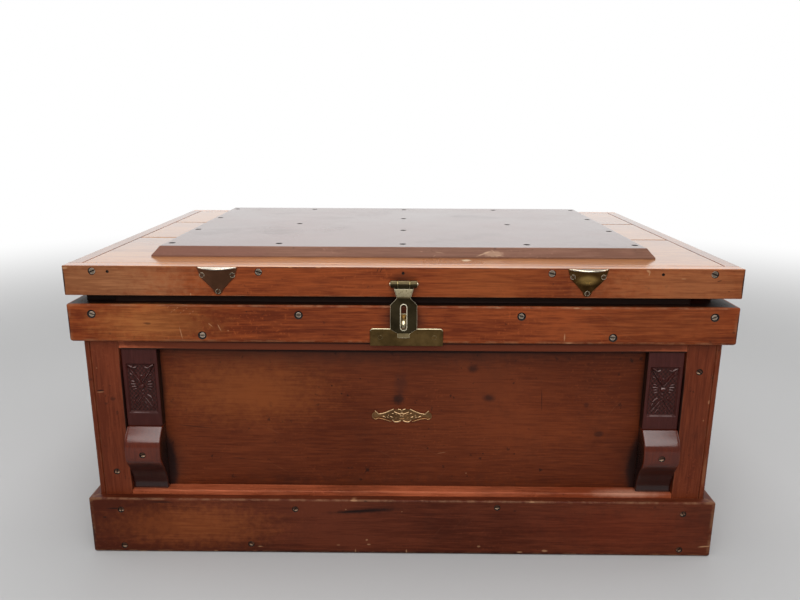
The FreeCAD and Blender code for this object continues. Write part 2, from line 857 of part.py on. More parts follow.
def make_staple():
    """Make the plate on the band and the eye that stands through the strap's slot."""
    half = "plate_width / 2"
    inner = f"{half} - plate_round"
    tab_left = "hasp_place - plate_place - plate_tab_width / 2"
    tab_right = "hasp_place - plate_place + plate_tab_width / 2"
    outline = [
        (f"-{half}", "0"),
        (half, "0"),
        (half, "plate_height - plate_round"),
        (inner, "plate_height"),
        (tab_right, "plate_height"),
        (tab_right, "plate_height + plate_tab_rise"),
        (tab_left, "plate_height + plate_tab_rise"),
        (tab_left, "plate_height"),
        (f"-({inner})", "plate_height"),
        (f"-{half}", "plate_height - plate_round"),
    ]
    arcs = {2: ("plate_round", True), 8: ("plate_round", True)}
    plate = padded("staple_plate", "XZ_Plane", outline, "plate_thick", arcs)
    place(plate, "plate_place", "front", "plate_base")
    keep(plate)

    left = "hasp_place - staple_thick / 2"
    out = "front - staple_out"
    lug = block(
        "staple_shank",
        (left, f"{left} + staple_thick"),
        (out, "front - plate_thick"),
        ("staple_level - staple_radius", "staple_level + staple_radius"),
    )
    nose = rod("staple_nose", "staple_radius", "staple_thick", ALONG_X, left, out, "staple_level")
    eye = rod("staple_eye", "staple_eye", "staple_thick", ALONG_X, left, out, "staple_level")
    keep(cut("staple", fuse("staple_solid", [lug, nose]), [eye]))


def hinge_rod(label, radius, length, start):
    """Return a cylinder on the lid hinges' axis."""
    return rod(label, radius, length, ALONG_X, start, "hinge_line", "hinge_axis")


def make_hinge_leaf(label, x, knuckles, plate_y, plate_z):
    """Return one hinge leaf: a plate, and knuckles with tongues at (start, length), bored for the pin."""
    start = f"{x} - hinge_length / 2"
    pieces = [block(label + "_plate", (start, f"{start} + hinge_length"), plate_y, plate_z)]
    for index, (offset, length) in enumerate(knuckles):
        low = f"{start} + {offset}"
        tongue_y = (plate_y[1], "hinge_line")
        pieces.append(block(f"{label}_tongue_{index}", (low, f"{low} + {length}"), tongue_y, plate_z))
        pieces.append(hinge_rod(f"{label}_knuckle_{index}", "hinge_barrel", length, low))
    bore = hinge_rod(label + "_bore", "pin_bore", "hinge_length", start)
    return cut(label, fuse(label + "_solid", pieces), [bore])


def make_hinges():
    """Make the pair of butt hinges: leaves on the ledge, leaves under the lid's back rail, and their pins."""
    plate_end = "hinge_line - hinge_barrel - hinge_leaf_margin"
    case_y = ("back - band_thick - lip_set + hinge_leaf_margin", plate_end)
    lid_y = ("back - lid_rail_thick + hinge_leaf_margin", plate_end)
    case_z = ("band_top", "band_top + hinge_leaf_thick")
    lid_z = ("lid_base - hinge_leaf_thick", "lid_base")
    outer = "((hinge_length - hinge_knuckle) / 2 - hinge_play)"
    case_knuckles = [("0", outer), (f"hinge_length - {outer}", outer)]
    lid_knuckles = [("(hinge_length - hinge_knuckle) / 2", "hinge_knuckle")]
    case_leaves = []
    lid_leaves = []
    pins = []
    for side, x in (("left", "-hinge_place"), ("right", "hinge_place")):
        case_leaves.append(make_hinge_leaf(f"{side}_case_leaf", x, case_knuckles, case_y, case_z))
        lid_leaves.append(make_hinge_leaf(f"{side}_lid_leaf", x, lid_knuckles, lid_y, lid_z))
        start = f"{x} - hinge_length / 2"
        pins.append(hinge_rod(f"{side}_hinge_pin", "pin_radius", "hinge_length", start))
    keep(group("case_hinge_leaves", case_leaves))
    keep(group("lid_hinge_leaves", lid_leaves))
    keep(group("hinge_pins", pins))


def make_handle_plate(wall):
    """Return the plate of one end's drop handle, with its two bored lugs."""
    name = f"{wall.name}_handle_plate"
    half = "handle_plate_length / 2"
    height = ("handle_level - handle_plate_height / 2", "handle_level + handle_plate_height / 2")
    pieces = [block(name + "_back", (f"-{half}", half), ("handle_face", "panel_recess"), height)]
    lug_height = ("handle_level - lug_height / 2", "handle_level + lug_height / 2")
    lug_out = ("handle_face - lug_reach", "handle_face")
    reach = "(lug_place + lug_width)"
    pieces.append(block(name + "_lug_left", (f"-{reach}", "-lug_place"), lug_out, lug_height))
    pieces.append(block(name + "_lug_right", ("lug_place", reach), lug_out, lug_height))
    start = (f"-{reach}", "bail_line", "handle_level")
    bore = rod(name + "_bore", "bail_pin + pin_clear", f"2 * {reach}", ALONG_X, *start)
    return wall.stand(cut(name, fuse(name + "_solid", pieces), [bore]))


def make_bail(wall):
    """Make one drop handle: a bar bent to a U, and pins at its ends that turn in the lugs."""
    name = f"{wall.name}_handle_bail"
    outside = "bail_span / 2 + bail_rod"
    inside = "bail_span / 2 - bail_rod"
    bend_out = "bail_bend + bail_rod"
    bend_in = "bail_bend - bail_rod"
    top = "bail_rod"
    foot = "-bail_drop - bail_rod"
    seat = "-bail_drop + bail_rod"
    right_half = [
        (f"{outside} - ({bend_out})", foot),
        (outside, f"{foot} + {bend_out}"),
        (outside, top),
        (inside, top),
        (inside, f"{seat} + {bend_in}"),
        (f"{inside} - ({bend_in})", seat),
    ]
    left_half = [(f"-({x})", z) for x, z in reversed(right_half)]
    arcs = {0: (bend_out, True), 4: (bend_in, False), 6: (bend_in, False), 10: (bend_out, True)}
    bar = padded(name + "_bar", "XZ_Plane", right_half + left_half, "2 * bail_rod", arcs, side="Symmetric")
    pin_length = "bail_play + lug_width"
    pins = [
        rod(name + "_pin_right", "bail_pin", pin_length, ALONG_X, outside),
        rod(name + "_pin_left", "bail_pin", pin_length, ALONG_X, f"-({outside}) - ({pin_length})"),
    ]
    bail = fuse(name + "_form", [bar] + pins)
    place(bail, "0", "bail_line", "handle_level")
    keep(wall.stand(group(name, [bail])))


def make_case_screws():
    """Return the holes for the case's wood screws, after making the screws."""
    places = []
    face = "core_front - plinth_thick"
    for side, name in ((-1, "left"), (1, "right")):
        end = f"{side} * (lid_width / 2 - band_screw_inset)"
        mid = f"{side} * band_screw_{name}"
        low = f"{side} * band_screw_low_{name}"
        places.append((end, "front", "band_base + band_screw_high", ALONG_Y))
        places.append((mid, "front", "band_base + band_screw_high", ALONG_Y))
        places.append((low, "front", "band_base + band_screw_low", ALONG_Y))
        end = f"{side} * (core_half + plinth_thick - plinth_screw_inset)"
        mid = f"{side} * plinth_screw_{name}"
        places.append((end, face, "plinth_screw_high", ALONG_Y))
        places.append((mid, face, f"plinth_screw_{name}_level", ALONG_Y))
        places.append((end, face, "plinth_screw_low", ALONG_Y))
    places.append(("-plinth_screw_low_place", face, "plinth_screw_low + rail_base", ALONG_Y))
    bodies, holes = screws("case_screw", places, "screw_length")
    post_places = [
        ("-(core_half - post_screw_inset)", "core_front", "post_screw_low", ALONG_Y),
        ("core_half - post_screw_inset", "core_front", "post_screw_high", ALONG_Y),
    ]
    post_bodies, post_holes = screws("post_screw", post_places, "post_screw_length")
    corbel_places = []
    for side in (-1, 1):
        nose = "panel_front - corbel_nose"
        corbel_places.append((f"{side} * pilaster_centre", nose, "sill_height + corbel_screw_rise", ALONG_Y))
    corbel_bodies, corbel_holes = screws("corbel_screw", corbel_places, "corbel_screw_length")
    keep(group("case_wood_screws", bodies + post_bodies + corbel_bodies))
    return holes + post_holes, corbel_holes


def make_lid_screws():
    """Return the holes for the lid's wood screws, after making the screws."""
    places = []
    level = "lid_top - edge_round - screw_head - lid_screw_margin"
    for side, name in ((-1, "left"), (1, "right")):
        places.append((f"{side} * (lid_width / 2 - lid_screw_inset)", "front", level, ALONG_Y))
        places.append((f"{side} * lid_screw_{name}", "front", level, ALONG_Y))
    edge = "(raised_width / 2 - raised_screw_side)"
    far = "(raised_depth / 2 - raised_screw_end)"
    rows = (
        (f"raised_middle - {far}", (f"-{edge}", "-raised_screw_mid", "0", "raised_screw_mid", edge)),
        ("raised_middle - raised_row_step", (f"-{edge}", "0", edge)),
        ("raised_middle", ("-raised_screw_mid", "raised_screw_mid")),
        ("raised_middle + raised_row_step", (f"-{edge}", "0", edge)),
        (f"raised_middle + {far}", (f"-{edge}", "-raised_screw_mid", "0", "raised_screw_mid", edge)),
    )
    for y, row in rows:
        for x in row:
            places.append((x, y, "raised_top", DOWNWARD))
    bodies, holes = screws("lid_screw", places, "screw_length")
    keep(group("lid_wood_screws", bodies))
    return holes


def make_case(wood, corbel):
    """Make the posts, rails, panels, band, plinth, floor and carved front of the case."""
    post = make_post()
    across = Vector(1, 0, 0)
    along = Vector(0, 1, 0)
    drilled("front_left_post", post, wood)
    right_post = mirror("front_right_post_blank", post, across)
    drilled("front_right_post", right_post, wood)
    keep(mirror("back_left_post", post, along, "middle"))
    keep(mirror("back_right_post", right_post, along, "middle"))
    top_groove = ("opening_top", "groove_high")
    bottom_groove = ("groove_low", "sill_height")
    for wall in WALLS:
        top = make_rail(wall, "top", "opening_top", "lip_top", top_groove, True)
        bottom = make_rail(wall, "bottom", "rail_base", "sill_height", bottom_groove, False)
        panel = make_panel(wall)
        plinth = make_skirt_board(wall, "plinth", "0")
        band = make_skirt_board(wall, "band", "band_base")
        blanks = (
            (f"{wall.name}_top_rail", top, wood),
            (f"{wall.name}_bottom_rail", bottom, wood),
            (f"{wall.name}_panel", panel, corbel),
            (f"plinth_{wall.name}", plinth, wood),
            (f"band_{wall.name}", band, wood),
        )
        for label, blank, holes in blanks:
            if wall is FRONT:
                drilled(label, blank, holes)
            else:
                blank.Label = label
                keep(blank)
    make_floor()
    for side, sign in (("left", "-1"), ("right", "1")):
        drilled(f"{side}_corbel", make_corbel(f"{side}_corbel_blank", sign), corbel)
        keep(make_pilaster(f"{side}_pilaster", sign))


def make_floor():
    """Make the floor boards, which run from front to back, and the cleats below their ends."""
    boards = []
    width = f"(2 * inner_half / {FLOOR_BOARDS})"
    depth = ("inner_front + floor_play", "inner_back - floor_play")
    height = ("floor_level - floor_thick", "floor_level")
    for index in range(FLOOR_BOARDS):
        low = f"-inner_half + {index} * {width} + floor_play / 2"
        high = f"-inner_half + {index + 1} * {width} - floor_play / 2"
        boards.append(block(f"floor_board_{index}", (low, high), depth, height))
    keep(group("floor_boards", boards))
    across = ("-inner_half", "inner_half")
    height = ("floor_level - floor_thick - cleat_size", "floor_level - floor_thick")
    cleats = [
        block("front_cleat", across, ("inner_front", "inner_front + cleat_size"), height),
        block("back_cleat", across, ("inner_back - cleat_size", "inner_back"), height),
    ]
    keep(group("floor_cleats", cleats))


def make_lid(wood):
    """Make the lid's rails, boards and raised panel, and its finger lifts."""
    half = "lid_width / 2"
    side_half = "lid_depth / 2 - lid_rail_thick"
    quarter = {"front": 0, "right": 90, "back": 180, "left": -90}
    turns = {name: Rotation(Vector(0, 0, 1), angle) for name, angle in quarter.items()}
    front = make_lid_rail("lid_front_rail_blank", half, turns["front"], "0", "front")
    drilled("lid_front_rail", front, wood)
    keep(make_lid_rail("lid_back_rail", half, turns["back"], "0", "back"))
    keep(make_lid_rail("lid_left_rail", side_half, turns["left"], f"-({half})", "middle"))
    keep(make_lid_rail("lid_right_rail", side_half, turns["right"], half, "middle"))
    inside = f"{half} - lid_rail_thick"
    seams = ("lid_seam_first", "lid_seam_second")
    starts = ["lid_rail_thick"] + [f"{seam} + seam_gap / 2" for seam in seams]
    ends = [f"{seam} - seam_gap / 2" for seam in seams] + ["lid_depth - lid_rail_thick"]
    boards = []
    for index, (low, high) in enumerate(zip(starts, ends)):
        depth = (f"front + {low}", f"front + {high}")
        board = block(f"lid_board_{index}_blank", (f"-({inside})", inside), depth, ("lip_top", "lid_top"))
        boards.append(cut(f"lid_board_{index}", board, wood))
    keep(group("lid_boards", boards))
    raised_half = "raised_width / 2"
    plan = [
        (f"-{raised_half}", "0"),
        (raised_half, "0"),
        (raised_half, "raised_depth"),
        (f"-{raised_half}", "raised_depth"),
    ]
    body = padded("raised_panel_blank", "XY_Plane", plan, "raised_thick")
    bind(body.Tip, TaperAngle="-atan(raised_bevel / raised_thick)")
    place(body, "0", "raised_front", "lid_top")
    drilled("lid_raised_panel", body, wood)
    for side, sign in (("left", "-1"), ("right", "1")):
        keep(make_lift(f"{side}_finger_lift", sign))


def make_till():
    """Make the sliding till and the runners that carry it along the ends of the case."""
    half = "till_half"
    across = (f"-{half}", half)
    inside = (f"till_wall - {half}", f"{half} - till_wall")
    height = ("till_floor", "till_top")
    keep(block("till_bottom", across, ("till_front", "till_back"), ("till_level", "till_floor")))
    keep(block("till_front", across, ("till_front", "till_front + till_wall"), height))
    keep(block("till_back", across, ("till_back - till_wall", "till_back"), height))
    depth = ("till_front + till_wall", "till_back - till_wall")
    ends = [
        block("till_left_end", (f"-{half}", inside[0]), depth, height),
        block("till_right_end", (inside[1], half), depth, height),
    ]
    keep(group("till_ends", ends))
    run = ("inner_front", "inner_back")
    height = ("till_level - runner_height", "till_level")
    runners = [
        block("left_runner", ("-inner_half", "runner_width - inner_half"), run, height),
        block("right_runner", ("inner_half - runner_width", "inner_half"), run, height),
    ]
    keep(group("till_runners", runners))


def check(item):
    """Stop if an object failed or its shape is missing or invalid."""
    if "Invalid" in item.State or "Error" in item.State:
        raise RuntimeError(f"{item.Label} failed: {item.State}")
    if hasattr(item, "Shape") and (item.Shape.isNull() or not item.Shape.isValid()):
        raise RuntimeError(f"{item.Label} has no valid shape")


def main():
    """Build every sub-part, check the document and write the files."""
    fill_sheet()
    wood, corbel = make_case_screws()
    lid_wood = make_lid_screws()
    make_case(wood, corbel)
    make_ornament()
    make_lid(lid_wood)
    make_hinges()
    make_hasp()
    make_staple()
    keep(group("handle_plates", [make_handle_plate(wall) for wall in (LEFT, RIGHT)]))
    make_bail(LEFT)
    make_bail(RIGHT)
    make_till()
    doc.recompute()
    for item in doc.Objects:
        check(item)
    os.makedirs("parts", exist_ok=True)
    for item in subparts:
        item.Shape.exportStep(f"parts/{item.Label}.step")
        print(item.Label, len(item.Shape.Solids), round(item.Shape.Volume))


main()
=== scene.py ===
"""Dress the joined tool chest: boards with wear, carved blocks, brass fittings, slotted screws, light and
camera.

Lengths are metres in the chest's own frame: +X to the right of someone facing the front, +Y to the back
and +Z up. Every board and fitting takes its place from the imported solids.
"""

import logging
import math
from collections.abc import Sequence
from dataclasses import dataclass, field, replace
from enum import Enum

import bmesh
import bpy
import numpy as np
from mathutils import Matrix, Vector


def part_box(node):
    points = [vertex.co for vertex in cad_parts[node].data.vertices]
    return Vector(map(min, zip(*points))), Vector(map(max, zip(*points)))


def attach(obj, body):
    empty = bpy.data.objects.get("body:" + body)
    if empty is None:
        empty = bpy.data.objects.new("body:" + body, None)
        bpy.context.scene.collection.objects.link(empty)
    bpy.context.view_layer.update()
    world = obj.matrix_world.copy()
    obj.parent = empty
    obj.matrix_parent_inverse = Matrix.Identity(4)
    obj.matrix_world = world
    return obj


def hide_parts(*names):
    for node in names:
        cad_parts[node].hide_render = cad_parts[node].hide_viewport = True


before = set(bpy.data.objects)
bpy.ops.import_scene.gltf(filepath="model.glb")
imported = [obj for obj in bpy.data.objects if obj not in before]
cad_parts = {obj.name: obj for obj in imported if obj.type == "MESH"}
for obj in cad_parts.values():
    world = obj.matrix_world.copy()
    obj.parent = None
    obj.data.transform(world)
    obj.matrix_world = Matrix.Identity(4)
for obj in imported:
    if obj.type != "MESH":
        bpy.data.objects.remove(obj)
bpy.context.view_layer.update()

LOG = logging.getLogger("tool_chest")
MM = 0.001
MERGE = 1e-6
SHARP_DEGREES = 38.0
CAP_INSET = 0.5 * MM
ROUND_SHARE = 0.4
SUPPORT_SHARE = 0.2
LEAST_WEAR, MOST_ROUND = 0.4, 0.9
DENT_DEEP, DENT_BASE = 2.2, 0.4
SMALLEST_ROUND, CRISP = 0.05 * MM, 0.3 * MM
ARC_STEPS, ARC_SUPPORT = 4, 2.0 * MM
BESIDE = ((0, 0), (1, 1))
Array = np.ndarray
Box = tuple[Array, Array]
Colour = tuple[float, float, float]
Item = bpy.types.Object
Material = bpy.types.Material
Point = tuple[float, float, float]
Socket = bpy.types.NodeSocket


class Run(Enum):
    """The axis along which a board's grain runs."""

    ACROSS = 0
    DEEP = 1
    UP = 2


class Face(Enum):
    """The way a surface looks, as three axes: outwards, across and up the surface."""

    FRONT = ((0, -1, 0), (1, 0, 0), (0, 0, 1))
    RIGHT = ((1, 0, 0), (0, 1, 0), (0, 0, 1))
    BACK = ((0, 1, 0), (-1, 0, 0), (0, 0, 1))
    LEFT = ((-1, 0, 0), (0, -1, 0), (0, 0, 1))
    TOP = ((0, 0, 1), (1, 0, 0), (0, 1, 0))

    @property
    def along(self) -> int:
        """The axis along which a wall with this face runs."""
        return 0 if self in (Face.FRONT, Face.BACK) else 1

    def spot(self, origin: Array, across: Array, up: Array, out: Array) -> Array:
        """Return points given across, up and out of the surface from an origin."""
        outward, right, upward = np.array(self.value, float)
        return origin + across[..., None] * right + up[..., None] * upward + out[..., None] * outward


@dataclass(frozen=True)
class Wear:
    """How far a board's edges are rounded, and how unevenly they wear."""

    radius: float = 1.2 * MM
    unevenness: float = 0.6
    support: float = 2.4 * MM
    spacing: float = 9.0 * MM
    steps: int = 3


@dataclass(frozen=True)
class Section:
    """A closed outline with its outward normals, and how exposed each of its points is to wear.

    Drawn in by more than its room, a point of a corner's arc goes on along the mitre.
    """

    points: Array
    normals: Array
    edge: Array
    room: Array | float = math.inf
    mitre: Array | float = 0.0


def grid_quads(rows: int, cols: int, wrap: bool) -> Array:
    """Return the quads of a grid whose points are numbered row by row.

    Args:
        rows: the number of rows of points.
        cols: the number of points in a row.
        wrap: whether each row's last point is joined to its first.

    Returns:
        One row of four point numbers for each quad.
    """
    first = np.arange(rows - 1)[:, None] * cols
    left = np.arange(cols if wrap else cols - 1)[None, :]
    right = (left + 1) % cols
    corners = (first + left, first + right, first + cols + right, first + cols + left)
    return np.stack(corners, axis=-1).reshape(-1, 4)


class Shell:
    """The points and faces of one piece, gathered from grids before they become a mesh."""

    def __init__(self) -> None:
        """Start with no points and no faces."""
        self.points: list[Array] = []
        self.edges: list[Array] = []
        self.faces: list[list[int]] = []
        self.planks: list[float] = []
        self.count = 0

    def add(
        self,
        points: Array,
        edge: Array | float = 0.0,
        plank: float = 0.0,
        wrap: bool = True,
        capped: bool = True,
    ) -> "Shell":
        """Add a grid of points as quads.

        Args:
            points: the grid, as rows by columns by three.
            edge: how exposed the points are to wear, from -1 in a corner to 1 on an arris. Some pieces also
            carry painted shade in it below zero and painted highlights above zero.
            plank: a number from 0 to 1 that sets this board's grain apart from its neighbours'.
            wrap: whether each row closes on itself.
            capped: whether the first and last rows are closed by one face each.

        Returns:
            The shell itself.
        """
        rows, cols = points.shape[:2]
        faces = (grid_quads(rows, cols, wrap) + self.count).tolist()
        if capped:
            ring = np.arange(cols) + self.count
            faces.append(ring[::-1].tolist())
            faces.append((ring + (rows - 1) * cols).tolist())
        self.points.append(points.reshape(-1, 3))
        self.edges.append(np.broadcast_to(edge, (rows, cols)).ravel())
        self.faces += faces
        self.planks += [plank] * len(faces)
        self.count += rows * cols
        return self

    def mesh(self, name: str) -> bpy.types.Mesh:
        """Return the mesh, with doubles merged, faces turned outwards and edges sharp past an angle.

        Args:
            name: the mesh's name.

        Returns:
            The mesh.
        """
        mesh = bpy.data.meshes.new(name)
        mesh.from_pydata(np.concatenate(self.points), [], self.faces)
        edge = mesh.attributes.new("edge", "FLOAT", "POINT")
        edge.data.foreach_set("value", np.concatenate(self.edges).astype(np.float32))
        plank = mesh.attributes.new("plank", "FLOAT", "FACE")
        plank.data.foreach_set("value", np.array(self.planks, np.float32))
        tidy = bmesh.new()
        tidy.from_mesh(mesh)
        bmesh.ops.remove_doubles(tidy, verts=tidy.verts, dist=MERGE)
        bmesh.ops.recalc_face_normals(tidy, faces=tidy.faces)
        tidy.to_mesh(mesh)
        tidy.free()
        mesh.shade_smooth()
        mesh.set_sharp_from_angle(angle=math.radians(SHARP_DEGREES))
        return mesh


def node_points(node: str) -> Array:
    """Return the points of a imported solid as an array.

    Args:
        node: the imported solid.

    Returns:
        One row of three for each point.
    """
    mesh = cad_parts[node].data
    flat = np.empty(len(mesh.vertices) * 3, np.float32)
    mesh.vertices.foreach_get("co", flat)
    return flat.reshape(-1, 3).astype(float)


def node_box(node: str) -> Box:
    """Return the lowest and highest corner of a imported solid."""
    low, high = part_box(node)
    return np.array(low), np.array(high)


def points_at(x: Array | float, y: Array | float, z: Array | float) -> Array:
    """Return the points of three coordinates, each spread over the shape that they share."""
    return np.stack(np.broadcast_arrays(x, y, z), axis=-1)


def box_of(x: Sequence[float], y: Sequence[float], z: Sequence[float]) -> Box:
    """Return a box's lowest and highest corner from its range on each axis."""
    low, high = np.array((x, y, z)).T
    return low, high


def halves(node: str, axis: int) -> list[Box]:
    """Return the boxes of a node's two solids, which lie on either side of its middle on an axis.

    Args:
        node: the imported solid.
        axis: the axis on which its two solids lie apart.

    Returns:
        The lower box and the upper one.
    """
    points = node_points(node)
    middle = (points[:, axis].min() + points[:, axis].max()) / 2
    sides = (points[points[:, axis] < middle], points[points[:, axis] >= middle])
    return [(side.min(axis=0), side.max(axis=0)) for side in sides]


def split_groups(points: Array, gap: float) -> list[Array]:
    """Split points in the plane into groups more than a gap apart, cutting along each axis in turn.

    Args:
        points: the points, as rows of two.
        gap: the least distance between groups.

    Returns:
        The numbers of each group's points.
    """
    groups = [np.arange(len(points))]
    for axis in (0, 1, 0, 1):
        found: list[Array] = []
        for group in groups:
            order = group[np.argsort(points[group, axis])]
            cuts = np.flatnonzero(np.diff(points[order, axis]) > gap) + 1
            found += np.split(order, cuts)
        groups = found
    return groups


def end_rows(radius: float, steps: int) -> tuple[Array, Array]:
    """Return how far a rounded end is drawn in, and how far it is from the end, from the tip inwards."""
    angle = np.linspace(0.0, math.pi / 2, steps + 1)
    return radius * (1 - np.sin(angle)), radius * (1 - np.cos(angle))


def uneven(seed: int, rows: int, amount: float) -> Array:
    """Return slow random factors about 1 that wear some stretches of a board's four edges more than others.

    Args:
        seed: what sets them.
        rows: the number of rows along the board.
        amount: how uneven they are, 0 for even.

    Returns:
        The factors, as rows by edges.
    """
    knots = max(4, rows // 3)
    depths = np.random.default_rng(seed).random((4, knots)) ** 3 * DENT_DEEP - DENT_BASE
    at = np.linspace(0, knots - 1, rows)
    curves = [np.interp(at, np.arange(knots), depth) for depth in depths]
    return 1 + amount * np.stack(curves, axis=-1)


def rounded_box(low: Array, high: Array, run: Run, wear: Wear, seed: int) -> tuple[Array, Array]:
    """Return the grid of a board with rounded edges, and how exposed its points are.

    A section's point is a corner of the box drawn in by the radius, plus the radius times the direction of
    an angle that goes once round. The radius wanders slowly along the run. At the ends the section shrinks
    as a quarter circle. Points a little way in on each flat keep the flats flat.

    Args:
        low: the box's lowest corner.
        high: its highest corner.
        run: the axis along which the section is carried.
        wear: the rounding of its edges.
        seed: what sets the wandering of the radius.

    Returns:
        The grid of points and the exposure of each.
    """
    along = run.value
    first, second = (along + 1) % 3, (along + 2) % 3
    centre, half = (low + high) / 2, (high - low) / 2
    radius = min(wear.radius, ROUND_SHARE * half.min())
    support = min(wear.support, ROUND_SHARE * (half.min() - radius))
    steps = wear.steps
    turn = np.pad(np.linspace(0.0, 1.0, steps + 1), 1, mode="edge")
    shift = np.concatenate(([-support], np.zeros(steps + 1), [support]))
    exposed = np.pad(np.ones(steps + 1), 1)
    corner = np.repeat(np.arange(4), steps + 3)
    angle = (corner + np.tile(turn, 4)) * math.pi / 2
    shift = np.tile(shift, 4)
    sign_first = np.array([1, -1, -1, 1])[corner]
    sign_second = np.array([1, 1, -1, -1])[corner]

    inset, back = end_rows(radius, steps)
    count = max(2, int(2 * half[along] / wear.spacing))
    straight = np.linspace(radius + support, 2 * half[along] - radius - support, count)
    place = np.concatenate(([0.0], back, straight, 2 * half[along] - back[::-1], [2 * half[along]]))
    shrink = np.concatenate(([radius], inset, np.zeros(count), inset[::-1], [radius]))
    inner = np.pad(np.zeros(len(place) - 2), 1, constant_values=support)
    rounding = np.ones((len(place), 4))
    wander = uneven(seed, count, wear.unevenness)
    rounding[steps + 2 : steps + 2 + count] = np.clip(wander, LEAST_WEAR, MOST_ROUND * half.min() / radius)
    reach = radius * rounding[:, corner]
    turned = reach - shrink[:, None]
    pull = reach + inner[:, None]
    points = np.empty((len(place), len(corner), 3))
    points[..., along] = (low[along] + place)[:, None]
    points[..., first] = (
        centre[first] + sign_first * (half[first] - pull) + turned * np.cos(angle) - shift * np.sin(angle)
    )
    points[..., second] = (
        centre[second] + sign_second * (half[second] - pull) + turned * np.sin(angle) + shift * np.cos(angle)
    )
    end_edge = np.concatenate(([0.0], np.ones(steps + 1), np.zeros(count), np.ones(steps + 1), [0.0]))
    edge = np.maximum(end_edge[:, None], np.tile(exposed, 4) * (inner == 0)[:, None])
    return points, edge


def rounded_section(corners: Sequence[Point]) -> Section:
    """Return a closed outline whose corners are arcs.

    At each corner the arc's centre lies on the line that halves the angle, the radius over the sine of half
    the angle away. A point before and after each arc keeps the flats flat.

    Args:
        corners: the corners in order as (across, up, radius), with the inside on the left.

    Returns:
        The outline.
    """
    table = np.array(corners, float)
    spots, radius = table[:, :2], np.maximum(table[:, 2], SMALLEST_ROUND)
    back = np.roll(spots, 1, axis=0) - spots
    ahead = np.roll(spots, -1, axis=0) - spots
    back_length = np.linalg.norm(back, axis=1, keepdims=True)
    ahead_length = np.linalg.norm(ahead, axis=1, keepdims=True)
    back, ahead = back / back_length, ahead / ahead_length
    half_angle = np.arccos(np.clip((back * ahead).sum(axis=1), -1, 1)) / 2
    tangent = (radius / np.tan(half_angle))[:, None]
    middle = (back + ahead) / np.linalg.norm(back + ahead, axis=1, keepdims=True)
    centre = spots + middle * (radius / np.sin(half_angle))[:, None]
    start, end = spots + back * tangent, spots + ahead * tangent
    first = np.arctan2(*(start - centre).T[::-1])
    last = np.arctan2(*(end - centre).T[::-1])
    sweep_angle = (last - first + math.pi) % (2 * math.pi) - math.pi
    angle = first[:, None] + sweep_angle[:, None] * np.linspace(0, 1, ARC_STEPS + 1)
    direction = np.stack((np.cos(angle), np.sin(angle)), axis=-1)
    arc = centre[:, None] + radius[:, None, None] * direction
    outwards = np.sign(sweep_angle)[:, None, None]
    reach_back = np.minimum(ARC_SUPPORT, SUPPORT_SHARE * (back_length - tangent))
    reach_ahead = np.minimum(ARC_SUPPORT, SUPPORT_SHARE * (ahead_length - tangent))
    before, after = start + back * reach_back, end + ahead * reach_ahead
    points = np.concatenate((before[:, None], arc, after[:, None]), axis=1).reshape(-1, 2)
    normals = np.pad(direction * outwards, (*BESIDE, (0, 0)), mode="edge").reshape(-1, 2)
    flag = np.broadcast_to(outwards[..., 0] * (radius > CRISP)[:, None], angle.shape)
    edge = np.pad(flag, BESIDE).ravel()
    held = np.where(outwards[..., 0] > 0, radius[:, None], math.inf) + 0 * angle
    room = np.pad(held, BESIDE, constant_values=math.inf).ravel()
    mitre = np.repeat(middle / np.sin(half_angle)[:, None], ARC_STEPS + 3, axis=0)
    return Section(points, normals, edge, room, mitre)


def sweep(section: Section, low: float, high: float, axes: Sequence[int], wear: Wear) -> tuple[Array, Array]:
    """Carry a closed outline along a straight run.

    A point is the outline's point at its station. Towards each end the outline is drawn in along its
    normals as a quarter circle, and a corner drawn in past its arc's centre follows its mitre.

    Args:
        section: the outline.
        low: where the run starts.
        high: where it ends.
        axes: the axis numbers of the outline's two coordinates and of the run.
        wear: the rounding of the ends.

    Returns:
        The grid of points and the exposure of each.
    """
    inset, back = end_rows(wear.radius, wear.steps)
    cap = min(CAP_INSET, 0.5 * wear.radius)
    inset, back = np.append(wear.radius + cap, inset), np.append(0.0, back)
    count = max(2, int((high - low) / wear.spacing))
    edge_room = min(wear.radius + wear.support, ROUND_SHARE * (high - low))
    straight = np.linspace(low + edge_room, high - edge_room, count)
    place = np.concatenate((low + back, straight, high - back[::-1]))
    drawn = np.concatenate((inset, np.zeros(count), inset[::-1]))
    held = np.minimum(drawn[:, None], section.room)[..., None]
    over = drawn[:, None, None] - held
    flat = section.points - held * section.normals + over * section.mitre
    points = np.empty((len(place), len(section.points), 3))
    points[..., axes[0]] = flat[..., 0]
    points[..., axes[1]] = flat[..., 1]
    points[..., axes[2]] = place[:, None]
    tip = np.append(0.0, np.ones(len(back) - 1))
    ends = np.concatenate((tip, np.zeros(count), tip[::-1]))[:, None]
    return points, np.maximum(section.edge * (drawn <= wear.radius)[:, None], ends)


def lathe(profile: Array, sides: int) -> tuple[Array, Array, Array]:
    """Return a profile of (radius, height) turned about an axis, as places across, up and out of a face."""
    angle = np.linspace(0, 2 * math.pi, sides, endpoint=False)
    return profile[:, :1] * np.cos(angle), profile[:, :1] * np.sin(angle), profile[:, 1:] + 0 * angle


